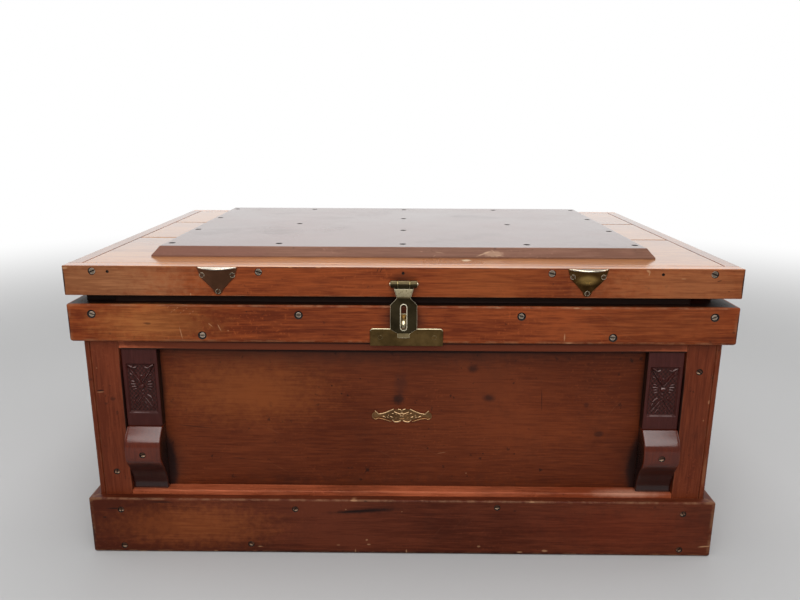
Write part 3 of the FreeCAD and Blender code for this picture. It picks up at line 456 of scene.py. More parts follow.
def smooth_path(knots: Sequence[Sequence[float]], count: int) -> Array:
    """Return points on a smooth curve through knots, each span a cubic whose slope at a knot is half the step
    from the knot before to the knot after.

    Args:
        knots: the points that it goes through.
        count: the number of points to return.

    Returns:
        The points.
    """
    spots = np.array(knots, float)
    line = np.concatenate((2 * spots[:1] - spots[1:2], spots, 2 * spots[-1:] - spots[-2:-1]))
    spans = len(line) - 3
    at = np.linspace(0, spans, count)
    span = np.minimum(at.astype(int), spans - 1)
    t = (at - span)[:, None]
    p0, p1, p2, p3 = (line[span + i] for i in range(4))
    slope_in, slope_out = (p2 - p0) / 2, (p3 - p1) / 2
    rise = p2 - p1
    cubic = slope_in + slope_out - 2 * rise
    square = 3 * rise - 2 * slope_in - slope_out
    return p1 + t * (slope_in + t * (square + t * cubic))


def tube(path: Array, normal: Point, radius: Array | float, sides: int, closed: bool = False) -> Array:
    """Return a round bar along a flat path.

    A section's point is the path's point plus the radius times the cosine of an angle along the path's side
    and its sine along the normal of the path's plane.

    Args:
        path: the points of the path.
        normal: the normal of its plane.
        radius: the bar's radius, one number or one for each point.
        sides: the number of points round the bar.
        closed: whether the path is a ring.

    Returns:
        The grid of points.
    """
    if closed:
        tangent = np.roll(path, -1, axis=0) - np.roll(path, 1, axis=0)
    else:
        tangent = np.gradient(path, axis=0)
    upright = np.array(normal, float)
    side = np.cross(upright, tangent)
    side /= np.linalg.norm(side, axis=1, keepdims=True)
    angle = np.linspace(0, 2 * math.pi, sides, endpoint=False)
    reach = np.broadcast_to(np.asarray(radius, float), (len(path),))[:, None, None]
    ring = np.cos(angle)[None, :, None] * side[:, None] + np.sin(angle)[None, :, None] * upright
    return path[:, None] + reach * ring


class Graph:
    """The node tree of a material or of the world, with short calls for the nodes that they share."""

    def __init__(self, owner: Material | bpy.types.World) -> None:
        """Start with an empty tree.

        Args:
            owner: the material or the world.
        """
        self.owner = owner
        self.owner.use_nodes = True
        self.tree = self.owner.node_tree
        self.tree.nodes.clear()

    def node(self, kind: str, inputs: dict | None = None, **settings: object) -> bpy.types.Node:
        """Add a node.

        Args:
            kind: the node's type, without the words that all shader nodes start with.
            inputs: its sockets' values or the sockets that feed them, by name or number.
            settings: its own properties.

        Returns:
            The node.
        """
        made = self.tree.nodes.new("ShaderNode" + kind)
        for key, value in settings.items():
            setattr(made, key, value)
        for key, value in (inputs or {}).items():
            self.feed(made.inputs[key], value)
        return made

    def feed(self, socket: Socket, value: object) -> None:
        """Link a socket, or set its value.

        Args:
            socket: what is fed.
            value: a number, colour or vector, or the socket that feeds it.
        """
        if isinstance(value, Socket):
            self.tree.links.new(value, socket)
        else:
            socket.default_value = value

    def math(self, operation: str, *values: object) -> Socket:
        """Return the result of a sum on numbers."""
        made = self.node("Math", dict(enumerate(values)), operation=operation)
        return made.outputs[0]

    def vector(self, operation: str, *values: object) -> Socket:
        """Return the result of a sum on vectors."""
        made = self.node("VectorMath", dict(enumerate(values)), operation=operation)
        return made.outputs[0]

    def length(self, place: Socket) -> Socket:
        """Return the length of a vector."""
        return self.node("VectorMath", {0: place}, operation="LENGTH").outputs["Value"]

    def ramp(self, value: object, low: float, high: float, start: float = 0.0, end: float = 1.0) -> Socket:
        """Return a number carried from one range to another, smoothly and held at both ends."""
        inputs = {0: value, 1: low, 2: high, 3: start, 4: end}
        return self.node("MapRange", inputs, interpolation_type="SMOOTHSTEP").outputs[0]

    def mix(self, factor: object, first: object, second: object) -> Socket:
        """Return a mix of two colours.

        Args:
            factor: the share of the second.
            first: a colour, or the socket of one.
            second: the same.

        Returns:
            The mixed colour.
        """
        made = self.node("Mix", data_type="RGBA")
        self.feed(made.inputs[0], factor)
        for socket, value in ((made.inputs[6], first), (made.inputs[7], second)):
            self.feed(socket, (*value, 1.0) if isinstance(value, tuple) else value)
        return made.outputs[2]

    def noise(self, place: object, scale: float = 1.0, detail: float = 2.0, rough: float = 0.5) -> Socket:
        """Return a noise about one half at a place."""
        inputs = {"Vector": place, "Scale": scale, "Detail": detail, "Roughness": rough}
        return self.node("TexNoise", inputs).outputs[0]

    def attribute(self, name: str) -> Socket:
        """Return a mesh attribute as a number."""
        return self.node("Attribute", attribute_name=name).outputs["Fac"]

    def place(self) -> Socket:
        """Return the place in the object's own coordinates."""
        return self.node("TexCoord").outputs["Object"]

    def bump(self, height: Socket, strength: float, distance: float) -> Socket:
        """Return the normal of a surface that stands up with a height."""
        inputs = {"Height": height, "Strength": strength, "Distance": distance}
        return self.node("Bump", inputs).outputs[0]

    def finish(self, shader: bpy.types.Node, output: str = "Material") -> Material | bpy.types.World:
        """Join the shader to the output and return the owner."""
        self.node(f"Output{output}", {"Surface": shader.outputs[0]})
        return self.owner


def material_graph(name: str) -> Graph:
    """Return the empty node tree of a new material."""
    return Graph(bpy.data.materials.new(name))


MARK_DEEP = 20 * MM


@dataclass(frozen=True)
class Mark:
    """A stain, bruise, scuff or painted shade on a board: an ellipsoid with a ragged rim, turned about Y."""

    centre: Point
    half: Point
    colour: Colour
    strength: float = 0.8
    tilt: float = 0.0
    ragged: float = 0.5
    soft: float = 0.6


def marks_on(front: float, *rows: tuple) -> tuple[Mark, ...]:
    """Return marks on a front plane, in millimetres.

    Args:
        front: where the plane lies on Y.
        rows: for each mark its place across and up, half width, half height and a mark's other fields.

    Returns:
        The marks, each reaching a little way into the wood.
    """
    found = []
    for across, up, half_wide, half_high, *rest in rows:
        centre = (across * MM, front * MM, up * MM)
        found.append(Mark(centre, (half_wide * MM, MARK_DEEP, half_high * MM), *rest))
    return tuple(found)


@dataclass(frozen=True)
class Cloud:
    """A noise, and the range of its values over which a place goes from bare to covered."""

    scale: float
    detail: float
    rough: float
    low: float
    high: float

    def cover(self, graph: Graph, place: Socket, strength: float = 1.0) -> Socket:
        """Return how far a place is covered, up to a strength."""
        value = graph.noise(place, self.scale, self.detail, self.rough)
        return graph.ramp(value, self.low, self.high, 0.0, strength)


@dataclass(frozen=True)
class Streaks:
    """A noise drawn out along the grain, by its frequencies along and across it."""

    along: float
    across: float
    detail: float
    rough: float


# Near-black of soiling, and of painted shade on the case's lip, the band's ledge and the carved pieces'
# sides.
DIRT_AND_SHADE: Colour = (0.012, 0.006, 0.004)
BARE: Colour = (0.44, 0.24, 0.12)
GRAIN_SHIFT = (7.3, 11.1, 5.7)
GRAIN_DARK, GRAIN_MIDDLE, GRAIN_LIGHT = 0.41, 0.5, 0.59
FIGURE_SHARE, STREAK_SHARE, MOTTLE_SHARE, TONE_SHARE = 0.28, 0.22, 0.5, 0.5
BEND_ALONG, BEND_ACROSS = 1.3, 7.0
MOTTLE = Streaks(26.0, 420.0, 4.0, 0.6)
FINE = Streaks(14.0, 520.0, 3.0, 0.5)
STREAK = Streaks(7.0, 150.0, 3.0, 0.6)
FLECK_PATCH = Cloud(11.0, 2.0, 0.5, 0.45, 0.62)
FLECK = Cloud(230.0, 3.0, 0.6, 0.57, 0.68)
BLOTCH = Cloud(7.0, 6.0, 0.68, 0.5, 0.74)
SPECK = Cloud(85.0, 3.0, 0.6, 0.66, 0.74)
NIBBLE = Cloud(60.0, 5.0, 0.65, 0.4, 0.62)
THREAD = Cloud(1.0, 1.0, 0.5, 0.71, 0.76)
THREAD_RATES = (9.0, 9.0, 620.0)
SCRATCH_WAYS = ((0.9, 1.7), (-0.5, 4.1))
BROAD = 25.0 * MM
SPECK_RATE = 9.0


@dataclass(frozen=True)
class WoodFinish:
    """Old stained wood: grain along the board, pores, soiling in hollows, edges paled by wear, scratches and
    marks.

    On some pieces the hollows' dark tone is painted shade and the pale edge tone a painted highlight, and
    some marks are painted shade and shadows.
    """

    name: str
    run: Run
    tone: Colour
    spread: float = 0.32
    roughness: float = 0.45
    shine: float = 0.2
    coat: float = 0.0
    coat_roughness: float = 0.14
    coat_ior: float = 1.5
    figure: float = 26.0
    reach: float = 1.6
    pores: float = 0.25
    smudge: float = 0.3
    spots: float = 0.5
    flecks: float = 0.3
    # How far the pale tone covers edges: wear on most boards, painted highlights on the carved blocks.
    rubbed_and_lit: float = 0.08
    scratched: float = 0.06
    # The pale tone: unstained wood, and on the carved blocks a painted highlight.
    bare_and_highlight: Colour = BARE
    marks: tuple[Mark, ...] = ()

    def shade(self, by: float, tone: Colour | None = None) -> Colour:
        """Return a tone lighter and yellower by a share, or with a negative share darker and redder."""
        pulls = (1.0, 1.3, 1.5)
        return tuple(part * max(0.0, 1 + by * pull) for part, pull in zip(tone or self.tone, pulls))

    def stretch(self, along: float, across: float) -> Point:
        """Return the pattern's frequency on each axis, slow along the grain."""
        return tuple(along if axis == self.run.value else across for axis in range(3))

    def streaks(self, graph: Graph, place: Socket, kind: Streaks) -> Socket:
        """Return a noise drawn out along the grain."""
        drawn = graph.vector("MULTIPLY", place, self.stretch(kind.along, kind.across))
        return graph.noise(drawn, 1.0, kind.detail, kind.rough)

    def lines(self, graph: Graph, place: Socket, turn: float, seed: float) -> Socket:
        """Return thin scratches along one direction of the front, gathered in patches.

        Args:
            graph: the material's nodes.
            place: the place in the object's own coordinates.
            turn: the scratches' angle about Y.
            seed: what sets them apart from others.

        Returns:
            How far a place is scratched.
        """
        turned = graph.node("Mapping", {"Vector": place, "Rotation": (0.3, turn, 0.4)}).outputs[0]
        drawn = graph.vector("MULTIPLY_ADD", turned, THREAD_RATES, (seed, seed, seed))
        thread = THREAD.cover(graph, drawn)
        patch = Cloud(8.0 + seed, 2.0, 0.5, 0.52, 0.68).cover(graph, place)
        return graph.math("MULTIPLY", thread, patch)

    def stain(self, graph: Graph, colour: Socket, place: Socket, grain: Socket) -> Socket:
        """Lay the marks over a colour, each where its ellipsoid covers the place.

        Args:
            graph: the material's nodes.
            colour: what the marks are laid over.
            place: the place in the object's own coordinates.
            grain: the grain, from 0 where it is dark to 1, which a broad mark lets through.

        Returns:
            The marked colour.
        """
        ragged = graph.noise(place, 120.0, 4.0, 0.6)
        for mark in self.marks:
            turned = (0, mark.tilt, 0)
            inputs = {"Vector": place, "Location": mark.centre, "Rotation": turned, "Scale": mark.half}
            local = graph.node("Mapping", inputs, vector_type="TEXTURE").outputs[0]
            span = graph.length(local)
            rim = graph.math("MULTIPLY_ADD", ragged, 2.0 * mark.ragged, span)
            cover = graph.ramp(rim, 1.0 + mark.ragged, 1.0 + mark.ragged - mark.soft, 0.0, mark.strength)
            paint: object = mark.colour
            if mark.half[0] > BROAD and mark.half[2] > BROAD:
                dark, light = (self.shade(by * self.spread / 2, mark.colour) for by in (-1, 1))
                paint = graph.mix(grain, dark, light)
            colour = graph.mix(cover, colour, paint)
        return colour

    def material(self) -> Material:
        """Return the material.

        Its figure is a noise stretched along the grain and bent by a slower one. Soiling lies in hollows and
        blotches, and where a piece sets its edge attribute below zero the same tone is painted shade. The
        pale tone of unstained wood shows on edges reached by wear and in scratches, and is a painted
        highlight on the carved blocks. The grain stands up a little.

        Returns:
            The material.
        """
        graph = material_graph(self.name)
        place = graph.place()
        edge = graph.attribute("edge")
        shift = {0: GRAIN_SHIFT, 3: graph.attribute("plank")}
        apart = graph.node("VectorMath", shift, operation="SCALE")
        moved = graph.vector("ADD", place, apart.outputs[0])
        slow = graph.vector("MULTIPLY", moved, self.stretch(BEND_ALONG, BEND_ACROSS))
        bend = graph.node("TexNoise", {"Vector": slow, "Scale": 1.0, "Detail": 2.0})
        rates = self.stretch(self.reach, self.figure)
        drawn = graph.vector("MULTIPLY_ADD", moved, rates, bend.outputs["Color"])
        figure = graph.noise(drawn, 1.0, 6.0, 0.62)
        mottle = self.streaks(graph, moved, MOTTLE)
        fine = self.streaks(graph, moved, FINE)
        tone = graph.noise(moved, 4.0, 3.0)
        streak = self.streaks(graph, moved, STREAK)
        grain = graph.math("MULTIPLY_ADD", streak, STREAK_SHARE, graph.math("MULTIPLY", figure, FIGURE_SHARE))
        grain = graph.math("MULTIPLY_ADD", mottle, MOTTLE_SHARE, grain)
        grain = graph.math("MULTIPLY_ADD", graph.math("SUBTRACT", tone, 0.5), TONE_SHARE, grain)
        colour = graph.mix(graph.ramp(grain, GRAIN_DARK, GRAIN_MIDDLE), self.shade(-self.spread), self.tone)
        colour = graph.mix(graph.ramp(grain, GRAIN_MIDDLE, GRAIN_LIGHT), colour, self.shade(self.spread))
        colour = graph.mix(graph.ramp(fine, 0.4, 0.3, 0.0, self.pores), colour, self.shade(-0.6))
        patch = FLECK_PATCH.cover(graph, moved, self.flecks)
        fleck = FLECK.cover(graph, moved)
        colour = graph.mix(graph.math("MULTIPLY", fleck, patch), colour, self.shade(0.9))
        blotch = BLOTCH.cover(graph, moved, self.smudge)
        specks = SPECK.cover(graph, moved, self.spots)
        # Below zero the edge attribute lays the near-black: soiling in hollows, and painted shade where a
        # piece sets it.
        hollow = graph.ramp(edge, -0.05, -0.8, 0.0, 0.96)
        dirt_and_shade = graph.math("MAXIMUM", graph.math("MAXIMUM", blotch, specks), hollow)
        colour = graph.mix(dirt_and_shade, colour, DIRT_AND_SHADE)
        threads = graph.math("MAXIMUM", *(self.lines(graph, place, *way) for way in SCRATCH_WAYS))
        scratch = graph.math("MULTIPLY", threads, self.scratched)
        nibble = NIBBLE.cover(graph, place)
        # The pale tone on edges: wear, and painted highlights on the carved blocks.
        rub_and_highlight = graph.math("MULTIPLY", graph.ramp(edge, 0.5, 1.0, 0.0, self.rubbed_and_lit), nibble)
        colour = graph.mix(graph.math("MAXIMUM", scratch, rub_and_highlight), colour, self.bare_and_highlight)
        colour = self.stain(graph, colour, place, graph.ramp(grain, GRAIN_DARK, GRAIN_LIGHT))
        rough = graph.math("MULTIPLY_ADD", blotch, 0.25, self.roughness)
        rough = graph.math("MULTIPLY_ADD", graph.math("SUBTRACT", tone, 0.5), 0.3, rough)
        dents = graph.noise(place, 45.0, 3.0)
        height = graph.math("MULTIPLY_ADD", dents, 0.6, graph.math("MULTIPLY", fine, 0.4))
        height = graph.math("SUBTRACT", height, graph.math("MULTIPLY", scratch, 0.6))
        inputs = {
            "Normal": graph.bump(height, 0.22, 0.6 * MM),
            "Base Color": colour,
            "Roughness": rough,
            "Specular IOR Level": self.shine,
            "Coat Weight": self.coat,
            "Coat Roughness": self.coat_roughness,
            "Coat IOR": self.coat_ior,
        }
        return graph.finish(graph.node("BsdfPrincipled", inputs))


@dataclass(frozen=True)
class MetalFinish:
    """Old metal: a tarnished body, a polished tone where edges wear, soft blotches and soiling in hollows.

    On some pieces the edge attribute also paints highlights with the polished tone and shade with the tone of
    the hollows.
    """

    name: str
    bright: Colour
    body: Colour
    # Tone of specks and of points whose edge attribute is below zero: soiling and patina, painted shade on
    # the dull screws and the strap's tip, and a gold in one lift's dish.
    low_tone: Colour
    roughness: float = 0.3
    blotch: float = 0.35
    # Share of the polished tone on edges: wear, and painted highlights where a piece sets them.
    wear_and_light: float = 0.95
    scale: float = 45.0
    metallic: float = 1.0

    def material(self) -> Material:
        """Return the material: the body wanders with a soft noise, and edges and hollows follow the mesh.

        Returns:
            The material.
        """
        graph = material_graph(self.name)
        place = graph.place()
        edge = graph.attribute("edge")
        cloud = graph.noise(place, self.scale, 4.0, 0.55)
        speck = graph.noise(place, self.scale * SPECK_RATE, 3.0)
        low, high = (tuple(part * (1 + by * self.blotch) for part in self.body) for by in (-1, 1))
        colour = graph.mix(graph.ramp(cloud, 0.3, 0.7), low, high)
        colour = graph.mix(graph.ramp(speck, 0.62, 0.75, 0.0, 0.4), colour, self.low_tone)
        # Below zero the edge attribute lays the third colour: soiling in hollows, and painted shade on the
        # dull screws and the strap's tip.
        colour = graph.mix(graph.ramp(edge, -0.1, -0.8, 0.0, 0.9), colour, self.low_tone)
        # Above zero it lays the polished tone: wear on edges, and painted highlights on the dull screws, the
        # strap, the staple plate and a lift's lip.
        rim = graph.math("MULTIPLY", graph.ramp(edge, 0.2, 0.8, 0.0, self.wear_and_light), graph.ramp(speck, 0.75, 0.5))
        colour = graph.mix(rim, colour, self.bright)
        inputs = {
            "Base Color": colour,
            "Roughness": graph.math("MULTIPLY_ADD", cloud, 0.15, self.roughness - 0.07),
            "Metallic": self.metallic,
            "Normal": graph.bump(cloud, 0.12, 0.3 * MM),
        }
        return graph.finish(graph.node("BsdfPrincipled", inputs))


@dataclass(frozen=True)
class ShadowFinish:
    """The inside of a hole, dark with painted shade."""

    name: str
    colour: Colour

    def material(self) -> Material:
        """Return a dull dark material.

        Returns:
            The material.
        """
        graph = material_graph(self.name)
        inputs = {"Base Color": (*self.colour, 1.0), "Roughness": 0.85}
        return graph.finish(graph.node("BsdfPrincipled", inputs))


DARK: Colour = (0.03, 0.008, 0.004)
# Near-black of cracks and specks, and of painted shadow lines under the band and rail.
SOOT_AND_SHADE: Colour = (0.012, 0.006, 0.005)
PALE: Colour = (0.55, 0.3, 0.15)
# Near-black of painted shade at the boards' rounded front corners and the plinth's left end.
END: Colour = (0.02, 0.011, 0.012)
SCRATCH: Colour = (0.5, 0.32, 0.21)
OCHRE: Colour = (0.4, 0.2, 0.07)
FRONT, SUNK, FRAME = -293.75, -263.25, -281.25


def corner_marks(up: float, half_high: float) -> tuple[Mark, ...]:
    """Return painted shade down both front corners of a board, from their middle and half height in mm.

    Args:
        up: the height of their middle.
        half_high: half their height.

    Returns:
        The two marks.
    """
    half = (3.6 * MM, 5.0 * MM, half_high * MM)
    ends = [(x * MM, FRONT * MM, up * MM) for x in (-457.5, 457.5)]
    return tuple(Mark(end, half, END, 0.9, ragged=0.1, soft=0.4) for end in ends)


LID_FRONT = WoodFinish("lid_wood", Run.ACROSS, (0.235, 0.046, 0.009), rubbed_and_lit=0.2, marks=marks_on(
    FRONT,
    (-410, 414, 180, 60, (0.33, 0.13, 0.052), 0.85, 0, 0.5, 0.9),
    (385, 414, 190, 60, (0.31, 0.105, 0.037), 0.7, 0, 0.5, 0.9),
    (120, 414, 110, 60, (0.27, 0.068, 0.015), 0.5, 0, 0.5, 0.9),
    # The second mark in the next row is a painted shadow round the hasp's barrel and leaf.
    (0, 433.7, 460, 0.9, DARK, 0.45, 0, 0.05), (2, 410, 25, 24, DARK, 0.7, 0, 0.1, 0.9),
    (-33.2, 430.5, 0.7, 4.9, DARK, 0.8, 0.43, 0.2), (-28.6, 430.5, 0.7, 4.9, DARK, 0.8, 0.43, 0.2),
    (-143, 433.2, 45, 0.8, DARK, 0.6), (-150, 433.9, 4, 0.7, PALE, 0.6), (-112, 433.9, 5, 0.7, PALE, 0.6),
    (327.8, 431.2, 4.5, 2.2, PALE, 0.55, 0.5), (329.5, 427.5, 0.9, 3.4, PALE, 0.5, 0.2),
    (375.9, 421.1, 4, 1, PALE, 0.3), (424, 418.6, 4.6, 0.9, DARK, 0.8, -0.25), (438, 404, 2, 0.9, DARK, 0.6),
    (-453.5, 431.2, 6, 2.2, PALE, 0.6), (-286, 396, 1.4, 2.6, PALE, 0.5),
) + corner_marks(414, 26))
LID_END = replace(LID_FRONT, name="lid_end_wood", run=Run.DEEP, marks=())
LID_TOP = WoodFinish(
    "lid_top_wood", Run.ACROSS, (0.5, 0.165, 0.028),
    roughness=0.3, coat=1.0, smudge=0.1, spots=0.15, flecks=0.0,
)
LID_SIDE = WoodFinish("lid_side_wood", Run.DEEP, (0.26, 0.1, 0.04), roughness=0.3, coat=1.0)
LID_BOARD = replace(LID_TOP, name="lid_board_wood", tone=(0.36, 0.148, 0.045), marks=(
    # An orange strip in front of the bevel, a painted reflection of the dark bevel in the varnish.
    Mark((0.0, -0.27, 0.4347), (0.7, 0.07, 0.03), (0.47, 0.155, 0.022), 0.8, ragged=0.2, soft=0.9),
    Mark((0.089, -0.242, 0.4347), (0.0085, 0.009, 0.004), (0.98, 0.78, 0.52), 0.95),
    *(Mark((0.0, seam, 0.4347), (0.46, 0.0022, 0.004), DARK, 0.9, ragged=0.1) for seam in (-0.0568, 0.1242)),
    *(Mark((side * 0.4375, 0, 0.4347), (0.0016, 0.3, 0.004), DARK, 0.7, ragged=0.1) for side in (-1, 1)),
))
RAISED = WoodFinish(
    "raised_wood", Run.ACROSS, (0.13, 0.055, 0.043), spread=0.2, roughness=0.22, shine=0.5, coat=0.5
)
BEVEL = WoodFinish("bevel_wood", Run.ACROSS, (0.21, 0.098, 0.063), spread=0.14, roughness=0.4, marks=marks_on(
    -227,
    (-320, 442, 150, 20, (0.2, 0.085, 0.06), 0.7, 0, 0.1, 0.3),
    (131, 440, 16, 4.6, SCRATCH, 0.5, 0, 0.9, 0.5), (114, 440, 14, 1.2, SCRATCH, 0.7, -0.3, 0.5),
    (122, 443, 9, 0.8, SCRATCH, 0.7, -0.2, 0.4), (138, 438.5, 9, 0.8, SCRATCH, 0.7, 0.15, 0.4),
    (129, 444, 5, 0.8, SCRATCH, 0.7, 0.6, 0.4), (52, 442, 9, 0.7, SCRATCH, 0.4, 0.12, 0.4),
    (45, 437.5, 3, 0.7, SCRATCH, 0.4, -0.6, 0.4), (27, 443, 3, 0.8, SCRATCH, 0.4),
))
BAND_MARKS = marks_on(
    FRONT,
    (-340, 355, 130, 40, (0.33, 0.108, 0.027), 0.8, 0, 0.5, 0.9),
    (340, 355, 140, 40, (0.24, 0.058, 0.014), 0.6, 0, 0.5, 0.9),
    (-110, 350, 70, 30, (0.13, 0.022, 0.005), 0.5, 0, 0.5, 0.9),
    # Painted shadow of the hasp's strap on the band.
    (2, 362, 40, 24, (0.04, 0.01, 0.006), 0.85, 0, 0.1, 0.8),
    *((4.2 * i - 318, 378 - 7 * i % 10, 2.2, 0.6, PALE, 0.35, -0.7) for i in range(9)),
    (-348, 354.6, 7, 2.2, DARK, 0.55, 0.1), (-303, 341.7, 0.8, 12, PALE, 0.55, -0.18),
    (-262, 353.2, 4.7, 0.8, PALE, 0.5, 0.73), (-250, 349.7, 6.6, 0.8, PALE, 0.55, 1.15),
    (-238, 345, 1.5, 1, PALE, 0.4), (-211.7, 372.1, 1.4, 1.4, DARK, 0.8),
    (221.9, 337.6, 1, 7, PALE, 0.5), (228, 330.2, 6, 1.1, PALE, 0.7),
    (236, 379.7, 6, 1.4, PALE, 0.5), (249, 378.6, 10, 0.9, PALE, 0.4), (130, 379.5, 5, 0.9, PALE, 0.35),
) + corner_marks(354, 32)
BAND = WoodFinish(
    "band_wood", Run.ACROSS, (0.225, 0.043, 0.0085), spread=0.38, flecks=0.45, rubbed_and_lit=0.25, marks=BAND_MARKS
)
BAND_END = replace(BAND, name="band_end_wood", run=Run.DEEP, marks=())
PLINTH_MARKS = marks_on(
    FRONT,
    (-310, 45, 170, 50, (0.24, 0.06, 0.014), 0.8, 0, 0.5, 0.9),
    (320, 45, 170, 50, (0.145, 0.024, 0.0068), 0.75, 0, 0.5, 0.9),
    (0, 2, 460, 5, (0.02, 0.006, 0.004), 0.6, 0, 0.5, 0.7),
    (-57, 71, 48, 2.6, SOOT_AND_SHADE, 0.95, -0.07, 0.3), (-50, 71, 75, 6, (0.02, 0.006, 0.004), 0.75, -0.07, 0.5, 0.9),
    (-352, 83, 22, 1.6, SOOT_AND_SHADE, 0.7), (-423, 72, 12, 1.8, SOOT_AND_SHADE, 0.8), (-436, 57.5, 4, 1.6, SOOT_AND_SHADE, 0.8),
    # The first mark in the next row is painted shade down the plinth's left end.
    (-455, 30, 3, 24, END, 0.6), (-81, 73.2, 1.2, 1.2, PALE, 0.4), (1, 70.3, 1.2, 1.2, PALE, 0.4),
    (-209, 11, 5, 1.2, PALE, 0.45), (-50.7, 23.3, 2.2, 1.6, PALE, 0.5), (-47.5, 15.8, 3.4, 1.4, PALE, 0.45),
    (-93, 14.4, 3, 1, PALE, 0.3), (-67.6, 5, 1.2, 4, PALE, 0.4), (8, 5, 1.4, 4, PALE, 0.45),
    (-69, 87.5, 7, 1.4, PALE, 0.55), (-52, 87, 4, 1.4, SOOT_AND_SHADE, 0.7), (-384, 1.5, 10, 1.6, OCHRE, 0.7),
    (-357, 1.5, 7, 1.4, OCHRE, 0.6), (-275, 3, 4, 1.4, PALE, 0.4), (176, 5, 5, 1.5, PALE, 0.5),
    (213, 7.5, 5, 2.2, PALE, 0.5), (115, 14, 3, 2, PALE, 0.35), (166, 73, 3, 1.4, SOOT_AND_SHADE, 0.7),
    (448, 17, 13, 1.3, PALE, 0.6, -0.1), (409, 68, 2.2, 2.2, SOOT_AND_SHADE, 0.8), (190, 87.5, 6, 1.2, PALE, 0.45),
)
PLINTH_CHIP = Mark((0.428, -0.262, 0.0885), (0.012, 0.02, 0.003), PALE, 0.6)
PLINTH = WoodFinish(
    "plinth_wood", Run.ACROSS, (0.098, 0.0185, 0.0062),
    spread=0.28, figure=34.0, rubbed_and_lit=0.25, marks=(*PLINTH_MARKS, PLINTH_CHIP),
)
PLINTH_END = replace(PLINTH, name="plinth_end_wood", run=Run.DEEP, marks=())
POST = WoodFinish("post_wood", Run.UP, (0.152, 0.029, 0.009), spread=0.22, marks=marks_on(
    FRAME,
    # Painted shadow of the band's lower edge.
    (0, 325, 500, 3.4, SOOT_AND_SHADE, 0.85, 0, 0.05, 0.8),
    (-396.4, 204, 1.3, 116, SOOT_AND_SHADE, 0.9, 0, 0.05, 0.4), (396.4, 204, 1.3, 116, SOOT_AND_SHADE, 0.9, 0, 0.05, 0.4),
    (-428, 251.4, 7, 1.5, SOOT_AND_SHADE, 0.9, -0.06, 0.2),
    (-428, 249, 7, 0.8, PALE, 0.5, -0.06, 0.2), (-430, 285, 1.4, 1.4, PALE, 0.4),
    (435, 240, 2.4, 4, PALE, 0.35), (440, 130, 3, 30, (0.3, 0.12, 0.05), 0.45),
    (430, 212, 1.2, 1.6, PALE, 0.3),
))
RAIL = WoodFinish("rail_wood", Run.ACROSS, (0.38, 0.088, 0.034), marks=marks_on(
    FRAME,
    # Painted shade on the top rail's strip under the band, and the band's painted shadow line.
    (0, 322, 460, 12, (0.15, 0.03, 0.01), 0.95, 0, 0.1, 0.2),
    (0, 325, 500, 3.4, SOOT_AND_SHADE, 0.85, 0, 0.05, 0.8),
    (330, 94, 70, 7, (0.66, 0.33, 0.22), 0.65, 0, 0.3, 0.9),
))
RAIL_END = WoodFinish("rail_end_wood", Run.DEEP, (0.17, 0.035, 0.012))
# Panel colours: painted shade along the top and beside the blocks and brackets, and the brackets' painted
# shadows.
PANEL_DARK: Colour = (0.045, 0.013, 0.007)
FOOT_SHADE: Colour = (0.018, 0.007, 0.006)
# Painted shade beside each pilaster and bracket, and each bracket's painted shadow on the panel.
PANEL_SIDES = (
    (352, 250, 14, 80, PANEL_DARK, 0.7), (361, 130, 50, 85, PANEL_DARK, 0.9),
    (361, 126, 32, 72, FOOT_SHADE, 0.3),
)
PANEL_SPECKS = ((-60, 265), (-101, 254), (-87, 242), (120, 149), (166, 149), (-180, 305))
PANEL_MARKS = marks_on(
    SUNK,
    (-220, 245, 180, 75, (0.225, 0.055, 0.011), 0.75, 0, 0.5, 0.9),
    (200, 200, 150, 70, (0.19, 0.037, 0.0078), 0.5, 0, 0.5, 0.9),
    # Painted shade along the top under the rail, a darkening towards the bottom, and a painted shadow line
    # under the rail.
    (0, 318, 500, 44, PANEL_DARK, 0.8, 0, 0.3, 0.9), (0, 90, 500, 35, PANEL_DARK, 0.5, 0, 0.5, 0.9),
    (0, 309, 500, 6, SOOT_AND_SHADE, 0.9, 0, 0.05, 0.6),
    *((side * across, up, wide, high, colour, 0.92, 0, 0.1, soft)
      for side in (-1, 1) for across, up, wide, high, colour, soft in PANEL_SIDES),
    (-5.6, 234.5, 13, 12, SOOT_AND_SHADE, 0.8, 0, 0.5, 0.9),
    (-1.4, 257, 14, 30, (0.06, 0.016, 0.009), 0.55, 0, 0.5, 0.9),
    (126, 237, 12, 9, SOOT_AND_SHADE, 0.7, 0, 0.5, 0.9), (100.7, 281, 12, 9, SOOT_AND_SHADE, 0.65, 0, 0.5, 0.9),
    (288, 181.7, 9, 6, SOOT_AND_SHADE, 0.5), (267, 227, 5, 5, SOOT_AND_SHADE, 0.4), (202, 235, 0.8, 21.5, DARK, 0.8, -0.05, 0.2),
    (-303, 189, 33, 1.1, DARK, 0.6, 0.11), (-240, 138.8, 14, 1, DARK, 0.6, 0.1),
    *((across, up, 1.5, 1.5, SOOT_AND_SHADE, 0.8) for across, up in PANEL_SPECKS),
    (96, 117, 1.2, 1.2, PALE, 0.35), (60, 150, 10, 0.8, PALE, 0.2, -0.2),
)
PANEL = WoodFinish(
    "panel_wood", Run.ACROSS, (0.125, 0.0235, 0.0053),
    spread=0.25, figure=16.0, reach=3.0, spots=0.7, marks=PANEL_MARKS,
)
PANEL_END = replace(PANEL, name="panel_end_wood", run=Run.DEEP, marks=())
# On the carved blocks the pale edge tone is a painted highlight on the ridges and the field's lower edge.
CARVED = WoodFinish(
    "carved_wood", Run.UP, (0.066, 0.0125, 0.0095), coat=0.35, coat_roughness=0.25, rubbed_and_lit=0.75,
    spread=0.2, pores=0.1, bare_and_highlight=(0.5, 0.38, 0.36), scratched=0.0,
)
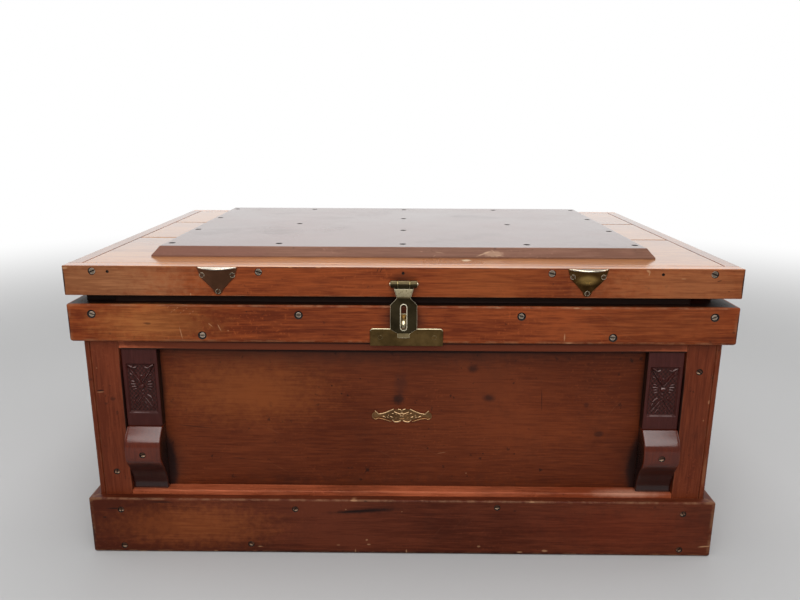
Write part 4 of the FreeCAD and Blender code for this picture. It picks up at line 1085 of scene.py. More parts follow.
# Painted shade over each bracket's foot, which faces down away from the light, and a dark crack.
CORBEL_MARKS = tuple(
    mark for x in (-370.5, 370.5) for mark in marks_on(
        -283,
        (x, 108, 60, 60, (0.022, 0.006, 0.005), 0.95, 0, 0.05, 0.35),
        (x + 4, 122, 1, 22, SOOT_AND_SHADE, 0.8, 0.12, 0.3),
    )
)
CORBEL = replace(
    CARVED, name="corbel_wood", tone=(0.105, 0.012, 0.001), smudge=0.1, spots=0.2, flecks=0.1,
    coat=1.0, coat_roughness=0.12, coat_ior=1.72, rubbed_and_lit=0.0, marks=CORBEL_MARKS,
)
INNER = WoodFinish("inner_wood", Run.ACROSS, (0.42, 0.27, 0.14), roughness=0.6)
INNER_DEEP = replace(INNER, name="inner_deep_wood", run=Run.DEEP)
BRASS = MetalFinish("brass", (0.9, 0.8, 0.52), (0.27, 0.165, 0.058), (0.02, 0.016, 0.008))
STRAP = replace(BRASS, name="strap_brass", body=(0.09, 0.068, 0.034))
PLATE_SCREW = replace(BRASS, name="plate_screw_brass", wear_and_light=0.3)
BRASS_EDGE = MetalFinish(
    "brass_edge", (0.95, 0.86, 0.64), (0.85, 0.75, 0.52), (0.4, 0.32, 0.18), metallic=0.35
)
ORNAMENT = MetalFinish(
    "ornament_brass", (0.86, 0.56, 0.29), (0.32, 0.16, 0.062), (0.04, 0.018, 0.008), metallic=0.7
)
# Its third colour is a bright gold, laid over the dish's middle.
LIFT_BRASS = MetalFinish(
    "lift_brass", (0.95, 0.86, 0.66), (0.16, 0.078, 0.024), (0.85, 0.52, 0.16), roughness=0.25
)
BRONZE = MetalFinish(
    "lift_bronze", (0.92, 0.86, 0.72), (0.26, 0.115, 0.062), (0.04, 0.02, 0.012), blotch=0.15
)
HINGE_METAL = MetalFinish("hinge_metal", (0.6, 0.45, 0.22), (0.25, 0.18, 0.08), (0.03, 0.02, 0.01))
IRON = MetalFinish("handle_iron", (0.3, 0.29, 0.28), (0.09, 0.08, 0.07), (0.03, 0.015, 0.008), roughness=0.45)
SCREW = MetalFinish("screw_metal", (0.85, 0.72, 0.6), (0.4, 0.3, 0.22), (0.015, 0.01, 0.008), metallic=0.5)
SCREW_LID = replace(SCREW, name="lid_screw_metal", body=(0.27, 0.205, 0.15))
# For the dull screws: its bright tone is painted light on the lower half of each head, its third colour
# painted shade on the upper half.
SCREW_DULL = MetalFinish(
    "dull_screw_metal", (0.6, 0.4, 0.26), (0.13, 0.055, 0.03), (0.02, 0.01, 0.006), metallic=0.3
)
SCREW_DARK = MetalFinish(
    "lift_screw_metal", (0.8, 0.7, 0.5), (0.11, 0.065, 0.042), (0.01, 0.008, 0.006), metallic=0.5
)
HOLE = ShadowFinish("screw_hole", (0.012, 0.007, 0.005))


Finish = WoodFinish | MetalFinish | ShadowFinish


@dataclass(frozen=True)
class Screw:
    """A slotted countersunk screw, seen as its head in a bored hole."""

    place: Array
    face: Face
    radius: float
    sink: float
    turn: float
    mouth: float = 1.35
    # A dull screw takes the dull finish, and its head is painted lit below and in shade above.
    dull: bool = False
    slot_width: float = 0.24
    slot_depth: float = 0.9 * MM
    dome: float = 0.35 * MM
    thick: float = 1.3 * MM

    def head(self, shell: Shell) -> None:
        """Add the head: over a disc, a low dome that falls by the square of the distance, cut by a slot.

        Columns run across the slot and are doubled at its two walls. The underside is the same disc, flat.

        Args:
            shell: what it is added to.
        """
        columns, rows = 6, 7
        arm = np.sin(np.linspace(math.pi / 2, 0, columns))
        left = -self.slot_width - (1 - self.slot_width) * arm
        across = np.concatenate((left, [-self.slot_width, self.slot_width], -left[::-1]))
        cut = np.concatenate((np.zeros(columns), [1.0, 1.0], np.zeros(columns)))[:, None]
        chord = np.sqrt(np.maximum(0.0, 1 - across**2))
        up = np.linspace(-1, 1, rows)[None, :] * chord[:, None]
        spread = np.minimum(1.0, across[:, None] ** 2 + up**2)
        out = self.dome * (1 - spread) - self.slot_depth * cut - self.sink
        below = np.full_like(out, -self.sink - self.thick)
        across = across[:, None]
        up = np.concatenate((up, up[:, ::-1]), axis=1)
        out = np.concatenate((out, below), axis=1)
        turned_across = self.radius * (across * math.cos(self.turn) - up * math.sin(self.turn))
        turned_up = self.radius * (across * math.sin(self.turn) + up * math.cos(self.turn))
        # Dull screws: the lower half of the head is painted lit and the upper half painted in shade. Others
        # get a bright rim.
        wear_and_light = np.clip(-1.5 * turned_up[:, :rows] / self.radius, -0.45, 1) if self.dull else spread**4
        rim = np.clip(np.concatenate((wear_and_light, 0 * spread), axis=1) - 1.4 * cut, -1, 1)
        shell.add(self.face.spot(self.place, turned_across, turned_up, out), rim, capped=False)

    def hole(self, shell: Shell) -> None:
        """Add the bored hole as a short cone, wider at the surface, to be cut out of the board.

        Args:
            shell: what it is added to.
        """
        reach = self.sink + self.thick
        mouth, foot, rim = self.mouth * self.radius, 1.02 * self.radius, -0.2 * MM
        profile = ((0, self.sink), (mouth, self.sink), (mouth, rim), (foot, -reach), (0, -reach))
        shell.add(self.face.spot(self.place, *lathe(np.array(profile), 20)), capped=False)


FRONT_DEEP = 50 * MM
SCREW_GAP = 8 * MM
FLUSH_HEAD, SUNK_HEAD = 0.95, 0.82
FLUSH_MOUTH, BAND_MOUTH, FRAME_MOUTH = 1.2, 1.65, 1.3
SINK_RANGE = (1.0, 1.8)
UPRIGHT_SLOT, SLOT_STRAY = math.pi / 2, 0.3


def find_screws(node: str, face: Face, seed: int) -> list[Screw]:
    """Return the screws of a packed group that look one way, each in the middle of its own points.

    Args:
        node: the group of screws.
        face: the way that they look.
        seed: what sets each one's turn and depth.

    Returns:
        The screws, in a fixed order.
    """
    front = face is Face.FRONT
    out_axis, axes = (1, (0, 2)) if front else (2, (0, 1))
    points = node_points(node)
    looks_front = points[:, 1] < points[:, 1].min() + FRONT_DEEP
    points = points[looks_front if front else ~looks_front]
    rng = np.random.default_rng(seed)
    found: list[Screw] = []
    for group in split_groups(points[:, axes], SCREW_GAP):
        own = points[group]
        place = (own.min(axis=0) + own.max(axis=0)) / 2
        place[out_axis] = own[:, 1].min() if front else own[:, 2].max()
        flush, banded = node.startswith("lid"), place[2] > node_box("band_front")[0][2]
        radius = np.ptp(own[:, 0]) / 2 * (FLUSH_HEAD if flush else SUNK_HEAD)
        sink, turn = rng.uniform(*SINK_RANGE) * MM, rng.uniform(0, math.pi)
        if banded and front:
            turn = UPRIGHT_SLOT + SLOT_STRAY * (turn - UPRIGHT_SLOT)
        mouth = FLUSH_MOUTH if flush else BAND_MOUTH if banded else FRAME_MOUTH
        found.append(Screw(place, face, radius, sink, turn, mouth, dull=not banded))
    return found


@dataclass
class Workshop:
    """What the pieces share: the materials made so far, the wear of the boards' edges and their screws."""

    screws: list[Screw] = field(default_factory=list)
    made: dict[str, Material] = field(default_factory=dict)
    wear: Wear = Wear()
    slack: float = 1.0 * MM

    def material(self, finish: Finish) -> Material:
        """Return the material of a finish, made when it is first asked for.

        Args:
            finish: the finish.

        Returns:
            Its material.
        """
        if finish.name not in self.made:
            self.made[finish.name] = finish.material()
        return self.made[finish.name]

    def piece(
        self, name: str, shell: Shell, finish: Finish, body: str, slot: str, nodes: Sequence[str] = ()
    ) -> Item:
        """Make an object of a shell, dress it, and let it ride on its body.

        Args:
            name: the piece's name.
            shell: its points and faces.
            finish: the finish that covers it.
            body: the body that it moves with.
            slot: the record's slot that its finish stands for; not used.
            nodes: the solids that it stands for.

        Returns:
            The new object.
        """
        item = bpy.data.objects.new(name, shell.mesh(name))
        bpy.context.scene.collection.objects.link(item)
        item.data.materials.append(self.material(finish))
        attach(item, body)
        if nodes:
            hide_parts(*nodes)
        LOG.info("%s: %d faces, on %s", name, len(item.data.polygons), body)
        return item

    def dress(self, item: Item, finish: Finish, low: float, high: float) -> None:
        """Give a second finish to the faces whose normal has an upward part between two numbers.

        Args:
            item: the piece.
            finish: the second finish.
            low: the least upward part.
            high: the greatest.
        """
        item.data.materials.append(self.material(finish))
        normals = np.empty(len(item.data.polygons) * 3, np.float32)
        item.data.polygons.foreach_get("normal", normals)
        upward = normals[2::3]
        item.data.polygons.foreach_set("material_index", ((upward > low) & (upward < high)).astype(np.int32))

    def board(
        self, node: str, run: Run, finish: WoodFinish, body: str, slot: str, boxes: Sequence[Box] = ()
    ) -> Item:
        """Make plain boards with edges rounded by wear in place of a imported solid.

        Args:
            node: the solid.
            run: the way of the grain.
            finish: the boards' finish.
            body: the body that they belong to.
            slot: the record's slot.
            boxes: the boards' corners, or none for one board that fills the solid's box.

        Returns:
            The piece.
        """
        shell = Shell()
        for number, (low, high) in enumerate(boxes or [node_box(node)]):
            seed = len(node) * 31 + number
            points, edge = rounded_box(low, high, run, self.wear, seed)
            shell.add(points, edge, plank=(seed * 0.381) % 1)
        return self.piece(f"worn_{node}", shell, finish, body, slot, [node])

    def bore(self, item: Item, nails: Sequence[Screw] = ()) -> None:
        """Cut out of a board the holes of the screws on its own face and any nail holes, with dark walls.

        Args:
            item: the board.
            nails: the nail holes.
        """
        low, high = np.array(item.bound_box).min(axis=0), np.array(item.bound_box).max(axis=0)
        holes = Shell()
        for screw in [*self.screws, *nails]:
            if np.all(screw.place > low - self.slack) and np.all(screw.place < high + self.slack):
                screw.hole(holes)
        if not holes.count:
            return
        cutter = bpy.data.objects.new(item.name + "_bores", holes.mesh(item.name + "_bores"))
        bpy.context.scene.collection.objects.link(cutter)
        cutter.data.materials.append(self.material(HOLE))
        cut = item.modifiers.new("bores", "BOOLEAN")
        cut.operation, cut.solver, cut.material_mode, cut.object = "DIFFERENCE", "EXACT", "TRANSFER", cutter
        graph = bpy.context.evaluated_depsgraph_get()
        whole = item.evaluated_get(graph)
        bored = bpy.data.meshes.new_from_object(whole, preserve_all_data_layers=True, depsgraph=graph)
        item.modifiers.clear()
        item.data = bored
        bpy.data.objects.remove(cutter)
        bored.set_sharp_from_angle(angle=math.radians(SHARP_DEGREES))
        LOG.info("%s: bored", item.name)


def nail(across: float, up: float, front: float, radius: float = 1.5 * MM) -> Screw:
    """Return an empty nail hole in a front face."""
    return Screw(np.array((across, front, up)), Face.FRONT, radius, 0.6 * MM, 0.0)


@dataclass
class Case:
    """The joined case: beaded posts, rails with a rebated lip, panels, band, plinth and floor."""

    shop: Workshop
    bead: float = 7.0 * MM
    quirk: float = 2.0 * MM
    corner_round: float = 3.2 * MM
    arris: float = 0.9 * MM
    lip_set: float = 7.7 * MM
    top_round: float = 2.0 * MM
    foot_round: float = 3.6 * MM
    mitre_round: float = 2.6 * MM
    tuck: float = 1.0 * MM
    # Edge values below zero that paint shade on the lip's outer faces and on the band's ledge, in the gap
    # under the lid.
    lip_painted_shade: float = -0.9
    ledge_painted_shade: float = -0.8
    floor_boards: int = 6
    floor_gap: float = 0.5 * MM
    body: str = "case"

    def build(self) -> None:
        """Build the whole case."""
        for side, x_side in (("left", -1), ("right", 1)):
            for end, y_side in (("front", -1), ("back", 1)):
                self.post(f"{end}_{side}_post", x_side, y_side)
        for wall in (Face.FRONT, Face.RIGHT, Face.BACK, Face.LEFT):
            self.wall(wall)
        self.floor()

    def post(self, node: str, x_side: int, y_side: int) -> None:
        """Build a post: an outline with a bead between two V grooves at its outer corner, carried upwards.

        Above the band it is set back to make the lip that the lid closes over.

        Args:
            node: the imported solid.
            x_side: -1 for a left post and 1 for a right one.
            y_side: -1 for a front post and 1 for a back one.
        """
        low, high = node_box(node)
        wide, deep = high[0] - low[0], high[1] - low[1]
        shoulder = node_box("band_front")[1][2]
        groove, inner = self.bead + self.quirk / 2, self.bead + self.quirk
        soft, fine = 1.5 * MM, CRISP
        arris, lip_set = self.arris, self.lip_set
        beaded = rounded_section((
            (0, 0, self.corner_round), (self.bead, 0, soft), (groove, self.quirk, fine), (inner, 0, arris),
            (wide, 0, arris), (wide, deep, arris), (0, deep, arris),
            (0, inner, arris), (self.quirk, groove, fine), (0, self.bead, soft),
        ))
        lip_corners = ((lip_set, lip_set), (wide, lip_set), (wide, deep), (lip_set, deep))
        lip = rounded_section([(across, back, arris) for across, back in lip_corners])
        outer = np.array((high[0] if x_side > 0 else low[0], high[1] if y_side > 0 else low[1]))
        shell = Shell()
        hidden_ends = Wear(radius=0.1 * MM)
        parts = ((beaded, low[2], shoulder, hidden_ends), (lip, shoulder, high[2], self.shop.wear))
        for section, bottom, top, wear in parts:
            points, edge = sweep(section, bottom, top, (0, 1, 2), wear)
            # The lip's outer faces above the band, in the gap under the lid, are painted in shade.
            outside = points[..., :2].min(axis=-1) < lip_set + self.tuck
            points[..., 0] = outer[0] - x_side * points[..., 0]
            points[..., 1] = outer[1] - y_side * points[..., 1]
            outside &= points[..., 2] < high[2] - 2 * self.tuck
            edge = np.where((points[..., 2] > shoulder - self.tuck) & outside, self.lip_painted_shade, edge)
            shell.add(points, edge, plank=0.2 + 0.3 * x_side + 0.1 * y_side)
        item = self.shop.piece(f"worn_{node}", shell, POST, self.body, "frame_wood", [node])
        self.shop.bore(item)

    def wall(self, wall: Face) -> None:
        """Build one wall's rails, panel, band and plinth.

        Args:
            wall: the way that it looks.
        """
        name = wall.name.lower()
        long, short = (RAIL, PANEL, BAND, PLINTH), (RAIL_END, PANEL_END, BAND_END, PLINTH_END)
        rail, panel, band, plinth = short if wall.along else long
        self.rail(f"{name}_top_rail", wall, rail, rebated=True)
        self.rail(f"{name}_bottom_rail", wall, rail, rebated=False)
        self.panel(f"{name}_panel", wall, panel)
        self.skirt(f"band_{name}", wall, band, "band_wood")
        self.skirt(f"plinth_{name}", wall, plinth, "plinth_wood")

    def span(self, wall: Face) -> tuple[float, float]:
        """Return where a wall's rails start and end between the posts."""
        first, last = node_box("front_left_post"), node_box("back_right_post")
        return first[1][wall.along], last[0][wall.along]

    def rail(self, node: str, wall: Face, finish: WoodFinish, rebated: bool) -> None:
        """Build a rail: its outline, as (inwards from the outer face, up), carried between the posts.

        Args:
            node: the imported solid.
            wall: the wall that it belongs to.
            finish: its finish.
            rebated: whether its top is set back under the lid.
        """
        low, high = node_box(node)
        axis = 1 - wall.along
        deep, bottom, top = high[axis] - low[axis], low[2], high[2]
        shoulder = node_box("band_front")[1][2]
        arris = self.arris
        corners = [(0, bottom, arris), (deep, bottom, arris), (deep, top, arris)]
        if rebated:
            corners += [(self.lip_set, top, arris), (self.lip_set, shoulder, CRISP), (0, shoulder, arris)]
        else:
            corners += [(0, top, 1.6 * arris)]
        start, end = self.span(wall)
        points, edge = sweep(rounded_section(corners), start, end, (axis, 2, 1 - axis), self.shop.wear)
        inwards = points[..., axis].copy()
        points[..., axis] = low[axis] + inwards if wall in (Face.FRONT, Face.LEFT) else high[axis] - inwards
        if rebated:
            # The lip's outer face above the band and the rail's underside are painted in shade.
            hidden = (points[..., 2] > shoulder - self.tuck) & (inwards < self.lip_set + self.tuck)
            hidden |= points[..., 2] < bottom + self.tuck
            edge = np.where(hidden, self.lip_painted_shade, edge)
        shell = Shell().add(points, edge, plank=(len(node) * 0.37) % 1)
        self.shop.piece(f"worn_{node}", shell, finish, self.body, "frame_wood", [node])

    def panel(self, node: str, wall: Face, finish: WoodFinish) -> None:
        """Build a panel that fills its opening, tucked a little way into the frame.

        Args:
            node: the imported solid.
            wall: the wall that it fills.
            finish: its finish.
        """
        low, high = node_box(node)
        start, end = self.span(wall)
        low[wall.along], high[wall.along] = start - self.tuck, end + self.tuck
        low[2] = node_box("front_bottom_rail")[1][2] - self.tuck
        high[2] = node_box("front_top_rail")[0][2] + self.tuck
        self.shop.board(node, Run(wall.along), finish, self.body, "panel_wood", [(low, high)])

    def skirt(self, node: str, wall: Face, finish: WoodFinish, slot: str) -> None:
        """Build a band or plinth board, mitred to its neighbours round the corners.

        A point at (out, up) of the outline runs to the half length plus out, so the ends meet on the mitre.
        Near an end its angle goes from 0 to 45 degrees, along grows with the sine and out shrinks with the
        cosine, which rounds the corner.

        Args:
            node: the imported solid.
            wall: the wall that it lies on.
            finish: its finish.
            slot: the record's slot.
        """
        low, high = node_box(node)
        thick = (high - low)[1 - wall.along]
        half = (high - low)[wall.along] / 2 - thick
        tight, steps = 0.1 * MM, 5
        section = rounded_section((
            (0, low[2], tight), (thick, low[2], self.foot_round),
            (thick, high[2], self.top_round), (0, high[2], tight),
        ))
        out, up = section.points.T
        bend = self.mitre_round / thick
        count = int(2 * half / self.shop.wear.spacing)
        straight = np.linspace(-1, 1, count)[1:-1, None] * (half + out * (1 - bend))
        angle = np.linspace(0, math.pi / 4, steps)[:, None]
        end_along = half + out * (1 - bend * (1 - np.sin(angle)))
        end_out = out * (1 - bend * (1 - np.cos(angle)))
        along = np.concatenate((-end_along[::-1], straight, end_along))
        out = np.concatenate((end_out[::-1], np.broadcast_to(out, straight.shape), end_out))
        wear_and_light = np.concatenate((np.ones(steps), np.zeros(count - 2), np.ones(steps)))[:, None]
        outward, right, _ = np.array(wall.value)
        centre = (low + high) / 2
        face = np.where(outward < 0, high, low)
        origin = np.where(outward != 0, face, centre * np.abs(right))
        points = wall.spot(origin * np.array((1, 1, 0)), along, np.broadcast_to(up, along.shape), out)
        edge = np.maximum(section.edge, wear_and_light)
        if slot == "band_wood":
            # The band's top ledge, under the lid, is painted in shade.
            ledge = (points[..., 2] > high[2] - MERGE) & (out < thick - self.top_round)
            edge = np.where(ledge, self.ledge_painted_shade, edge)
        shell = Shell().add(points, edge, plank=(len(node) * 0.29) % 1)
        item = self.shop.piece(f"worn_{node}", shell, finish, self.body, slot, [node])
        if wall is Face.FRONT:
            self.shop.bore(item)

    def floor(self) -> None:
        """Build the floor's boards, the cleats under them and the runners of the till."""
        low, high = node_box("floor_boards")
        edges = np.linspace(low[0] - self.floor_gap / 2, high[0] + self.floor_gap / 2, self.floor_boards + 1)
        spans = zip(edges[:-1] + self.floor_gap / 2, edges[1:] - self.floor_gap / 2)
        boxes = [box_of(span, (low[1], high[1]), (low[2], high[2])) for span in spans]
        self.shop.board("floor_boards", Run.DEEP, INNER_DEEP, self.body, "inner_wood", boxes)
        cleats, runners = halves("floor_cleats", 1), halves("till_runners", 0)
        self.shop.board("floor_cleats", Run.ACROSS, INNER, self.body, "inner_wood", cleats)
        self.shop.board("till_runners", Run.DEEP, INNER_DEEP, self.body, "inner_wood", runners)


@dataclass
class Till:
    """The sliding till: a shallow tray of five boards."""

    shop: Workshop
    body: str = "till"

    def build(self) -> None:
        """Build the tray's boards."""
        for node in ("till_front", "till_back", "till_bottom"):
            self.shop.board(node, Run.ACROSS, INNER, self.body, "inner_wood")
        self.shop.board("till_ends", Run.DEEP, INNER_DEEP, self.body, "inner_wood", halves("till_ends", 0))


@dataclass(frozen=True)
class Leaf:
    """One cut of the carving: a tapering ridge with a vein, as (across, up) from the field's middle."""

    start: Array
    end: Array
    wide: float
    high: float
    vein: float = 0.0

    def height(self, across: Array, up: Array) -> Array:
        """Return the ridge's height: half an ellipse across a width that swells and tapers along it, less a
        groove along its middle.

        Args:
            across: the places across the field.
            up: the places up it.

        Returns:
            The height at each place.
        """
        start, line = self.start, self.end - self.start
        length = np.linalg.norm(line)
        ahead = line / length
        along = ((across - start[0]) * ahead[0] + (up - start[1]) * ahead[1]) / length
        side = (across - start[0]) * ahead[1] - (up - start[1]) * ahead[0]
        held = np.clip(along, 0, 1)
        half = self.wide * (0.25 + 1.1 * np.sqrt(held) - 1.2 * held**2)
        beyond = (along - held) * length
        reach = np.hypot(side, beyond) / np.maximum(half, 0.2 * MM)
        ridge = self.high * np.sqrt(np.maximum(0.0, 1 - reach**2))
        return ridge - self.vein * np.exp(-((side / (0.45 * MM)) ** 2)) * (reach < 0.9)


@dataclass
class CarvedFront:
    """The carved blocks, the scrolled brackets under them and the pierced ornament on the front."""

    shop: Workshop
    field_wide: float = 42.0 * MM
    field_high: float = 75.0 * MM
    field_drop: float = 22.0 * MM
    field_deep: float = 5.0 * MM
    ground: float = 2.0 * MM
    slope: float = 2.2 * MM
    # Edge value that paints shade on the carved blocks' and brackets' side faces.
    side_painted_shade: float = -0.9
    cells_across: int = 120
    cells_up: int = 280
    heel: float = 12.0 * MM
    head: float = 17.0 * MM
    strand: float = 0.9 * MM
    body: str = "case"

    def build(self) -> None:
        """Build both blocks, both brackets and the ornament."""
        for side in ("left", "right"):
            self.block(f"{side}_pilaster")
            self.bracket(f"{side}_corbel")
        self.ornament("front_ornament")

    def leaves(self) -> list[Leaf]:
        """Return the carving's cuts: a V of thin ridges over its mirror image, side lobes and curled tips.

        Returns:
            The cuts of both halves.
        """
        half = (
            ((0.4, 8), (18.5, 34), 1.3, 4.9, 0),
            ((18, 35), (10.5, 30.5), 1.9, 4.7, 0),
            ((10.5, 30.5), (5.5, 32), 1.6, 4.6, 0),
            ((12, 19.5), (16.5, 22.5), 1.6, 4, 0.3),
            ((9.5, 9.5), (15.5, 11.5), 1.5, 4.5, 0.3),
            ((8.5, 6), (16, 6.8), 1.5, 4.7, 0.3),
            ((8, 2.6), (15, 2.2), 1.5, 4.4, 0.3),
            ((7.5, -0.6), (13.5, -2.4), 1.5, 4, 0.3),
            ((7, -9.5), (13.5, -15.5), 1.9, 4.8, 0.4),
            ((12.5, -18), (15, -26), 1.7, 3.6, 0.3),
            ((2, -13), (15.5, -33), 1.1, 3.4, 0),
            ((4, -27), (8.5, -33), 1.5, 3.2, 0.3),
            ((2, -21), (5.5, -26), 1.3, 3.1, 0.2),
            ((2.5, 14), (6.5, 24), 1.8, 3.2, 0.4),
        )
        found: list[Leaf] = []
        for start, end, wide, high, vein in half:
            for side in (-1, 1):
                mirror = np.array((side, 1)) * MM
                found.append(Leaf(start * mirror, end * mirror, wide * MM, high * MM, vein * MM))
        return found

    def relief(self, across: Array, up: Array) -> Array:
        """Return the field's relief over its ground: the highest of the leaves, the boss and the beads.

        Args:
            across: the places across the field.
            up: the places up it.

        Returns:
            The height at each place.
        """
        height = self.ground + 0.2 * MM * np.sin(across / (0.9 * MM)) * np.sin(up / (1.1 * MM))
        for leaf in self.leaves():
            height = np.maximum(height, leaf.height(across, up))
        beads = ((3.0, 3.5), (18.0, 2.1), (-4.5, 2.0), (-9.5, 1.8), (-14.5, 1.6), (-19.0, 1.4))
        for level, radius in beads:
            away = np.hypot(across, up - level * MM)
            ball = 1.15 * np.sqrt(np.maximum(0.0, (radius * MM) ** 2 - away**2)) + 0.5 * radius * MM
            height = np.where(away < radius * MM, np.maximum(height, ball), height)
        return np.minimum(height, self.field_deep)

    def block(self, node: str) -> None:
        """Build a block as one closed grid: its front is sunk by the field's depth, less the relief, inside
        the field, and the sides go straight back.

        Args:
            node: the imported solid.
        """
        low, high = node_box(node)
        middle, wide, thick = (low + high) / 2, high[0] - low[0], high[1] - low[1]
        rim = 1.0 * MM
        across = np.linspace(-wide / 2, wide / 2, self.cells_across)[None, :]
        up = np.linspace(low[2], high[2], self.cells_up)[:, None]
        field_middle = high[2] - self.field_drop - self.field_high / 2
        local = up - field_middle
        gap_across = (self.field_wide / 2 - np.abs(across)) / self.slope
        gap_up = (self.field_high / 2 - np.abs(local)) / self.slope
        inside = np.clip(np.minimum(gap_across, gap_up), 0, 1)
        relief = self.relief(across + 0 * local, local + 0 * across)
        carved = self.ground + (relief - self.ground) * np.clip(2 * inside - 1, 0, 1)
        sunk = inside * (self.field_deep - carved)
        edge_gap = np.minimum(wide / 2 - np.abs(across), np.minimum(up - low[2], high[2] - up))
        round_off = np.clip(1 - edge_gap / rim, 0, 1) ** 2 * rim * 0.8
        front = low[1] + sunk + round_off
        # Painted highlights on the slopes that face upwards, towards the light.
        fall = -np.gradient(relief, axis=0) / (up[1, 0] - up[0, 0])
        wear_and_light = np.clip(fall / 0.7, 0, 1) * (relief > 0.5 * self.field_deep) * (inside > 0.5)
        # A painted highlight along the field's lower slope, which faces up.
        sill = (np.abs(gap_up - 0.4) < 0.24) & (local < 0) & (gap_across > 2.2)
        wear_and_light = np.where(sill, 0.8, wear_and_light)
        # The field's ground between the cuts is made darker.
        hollow = np.clip((self.ground - relief) / (0.2 * MM) + 0.6, 0, 1) * (inside > 0.9)
        edge = wear_and_light - 0.55 * hollow * (wear_and_light <= 0)
        plane = points_at(middle[0] + across, front, up)
        behind = np.concatenate((plane[:, -1:], plane[:, ::-1], plane[:, :1]), axis=1)
        behind[:, 1:-1, 1] = low[1] + thick
        behind[:, [0, -1], 1] += 0.8 * MM
        points = np.concatenate((plane, behind), axis=1)
        # The block's side and back faces are painted in shade.
        shade = np.full(behind.shape[:2], self.side_painted_shade)
        shell = Shell().add(points, np.concatenate((edge, shade), axis=1), plank=0.5 + middle[0])
        self.shop.piece(f"carved_{node}", shell, CARVED, self.body, "carved_wood", [node])

    def bracket(self, node: str) -> None:
        """Build a bracket: a side outline with a scoop, a nose and a round crown, carried across.

        Args:
            node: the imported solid.
        """
        low, high = node_box(node)
        wall = high[1]
        nose = wall - low[1]
        curve = smooth_path((
            (self.heel, 0.0), (self.heel + 0.5 * MM, 0.12), (18.5 * MM, 0.3), (27.0 * MM, 0.44),
            (nose - 1.4 * MM, 0.54), (nose, 0.64), (nose - 0.7 * MM, 0.75),
            (29.0 * MM, 0.87), (self.head, 1.0),
        ), 48)
        out = np.concatenate(([0.0], np.minimum(curve[:, 0], nose), [0.0]))
        up = low[2] + (high[2] - low[2]) * np.concatenate(([0.0], curve[:, 1], [1.0]))
        outline = np.stack((wall - out, up), axis=-1)[::-1]
        tangent = np.roll(outline, -1, axis=0) - np.roll(outline, 1, axis=0)
        normal = np.stack((tangent[:, 1], -tangent[:, 0]), axis=-1)
        normal /= np.linalg.norm(normal, axis=1, keepdims=True)
        section = Section(outline, normal, np.zeros(len(outline)))
        wear = Wear(radius=1.8 * MM, spacing=6 * MM)
        points, edge = sweep(section, low[0], high[0], (1, 2, 0), wear)
        # The bracket's two side faces are painted in shade.
        edge[[0, -1]] = self.side_painted_shade
        shell = Shell().add(points, edge, plank=0.3 + low[0])
        item = self.shop.piece(f"carved_{node}", shell, CORBEL, self.body, "carved_wood", [node])
        self.shop.bore(item)

    def ornament(self, node: str) -> None:
        """Build the pierced ornament of crossing strands with curled ends, laid on the panel.

        Each strand is a round bar along a smooth curve through a few knots, mirrored to the other side.

        Args:
            node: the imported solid.
        """
        low, high = node_box(node)
        middle, level, back = (low[0] + high[0]) / 2, (low[2] + high[2]) / 2, high[1]
        strands = (
            (0.8, (-34, 2.0), (-26, 3.6), (-18.5, 6.8), (-12, 9.9)),
            (0.2, (-34, -4.4), (-27, -5.6), (-19, -8.3), (-15, -9.5)),
            (0.9, (-10.8, 5.8), (-3.2, 2.6), (-1.2, 3.2), (0, 4.2)),
            (0.8, (-5.4, 9.8), (-2.2, 9.2), (0, 6.4)),
            (1.0, (-13.6, -6.8), (-10, -9.7), (-5, -9.4), (-1.6, -7.6)),
            (0.8, (-27.7, -0.9), (-25.5, -1.8), (-23.3, -3.1)),
            (0.5, (-21.6, -2.2), (-20.3, -2.8), (-19, -3.5)),
            (0.5, (-16.8, -1.4), (-14.8, -2.2), (-12.8, -2.8)),
            (0.4, (-14.5, 3.4), (-13, 3.4), (-11.5, 2.8)),
            (0.2, (-11, -1), (-8.4, 2.0), (-5.6, -0.6), (-8.2, -4.0), (-11, -1)),
            (0.8, (-39, 7.4), (-36, 4.6), (-33.8, 2.0)),
            (0.2, (-34, -4), (-38, -5.6), (-42, -3.2), (-42.5, 1), (-40.5, 4.5)),
            (0.3, (-3.4, -4.6), (-1.6, -5.4), (0, -5.0)),
        )
        shell = Shell()
        for number, (shine, *knots) in enumerate(strands):
            flat = smooth_path(knots, 30) * MM
            lift = self.strand * (0.95 + 0.2 * (number % 3))
            taper = 0.7 + 0.3 * np.sin(np.linspace(0.2, math.pi - 0.2, len(flat)))
            for side in (-1, 1):
                path = points_at(middle + side * flat[:, 0], back - lift, level + flat[:, 1])
                bar = tube(path, (0, 1, 0), self.strand * taper, 8)
                bar[..., 1] = np.clip(bar[..., 1], low[1], back)
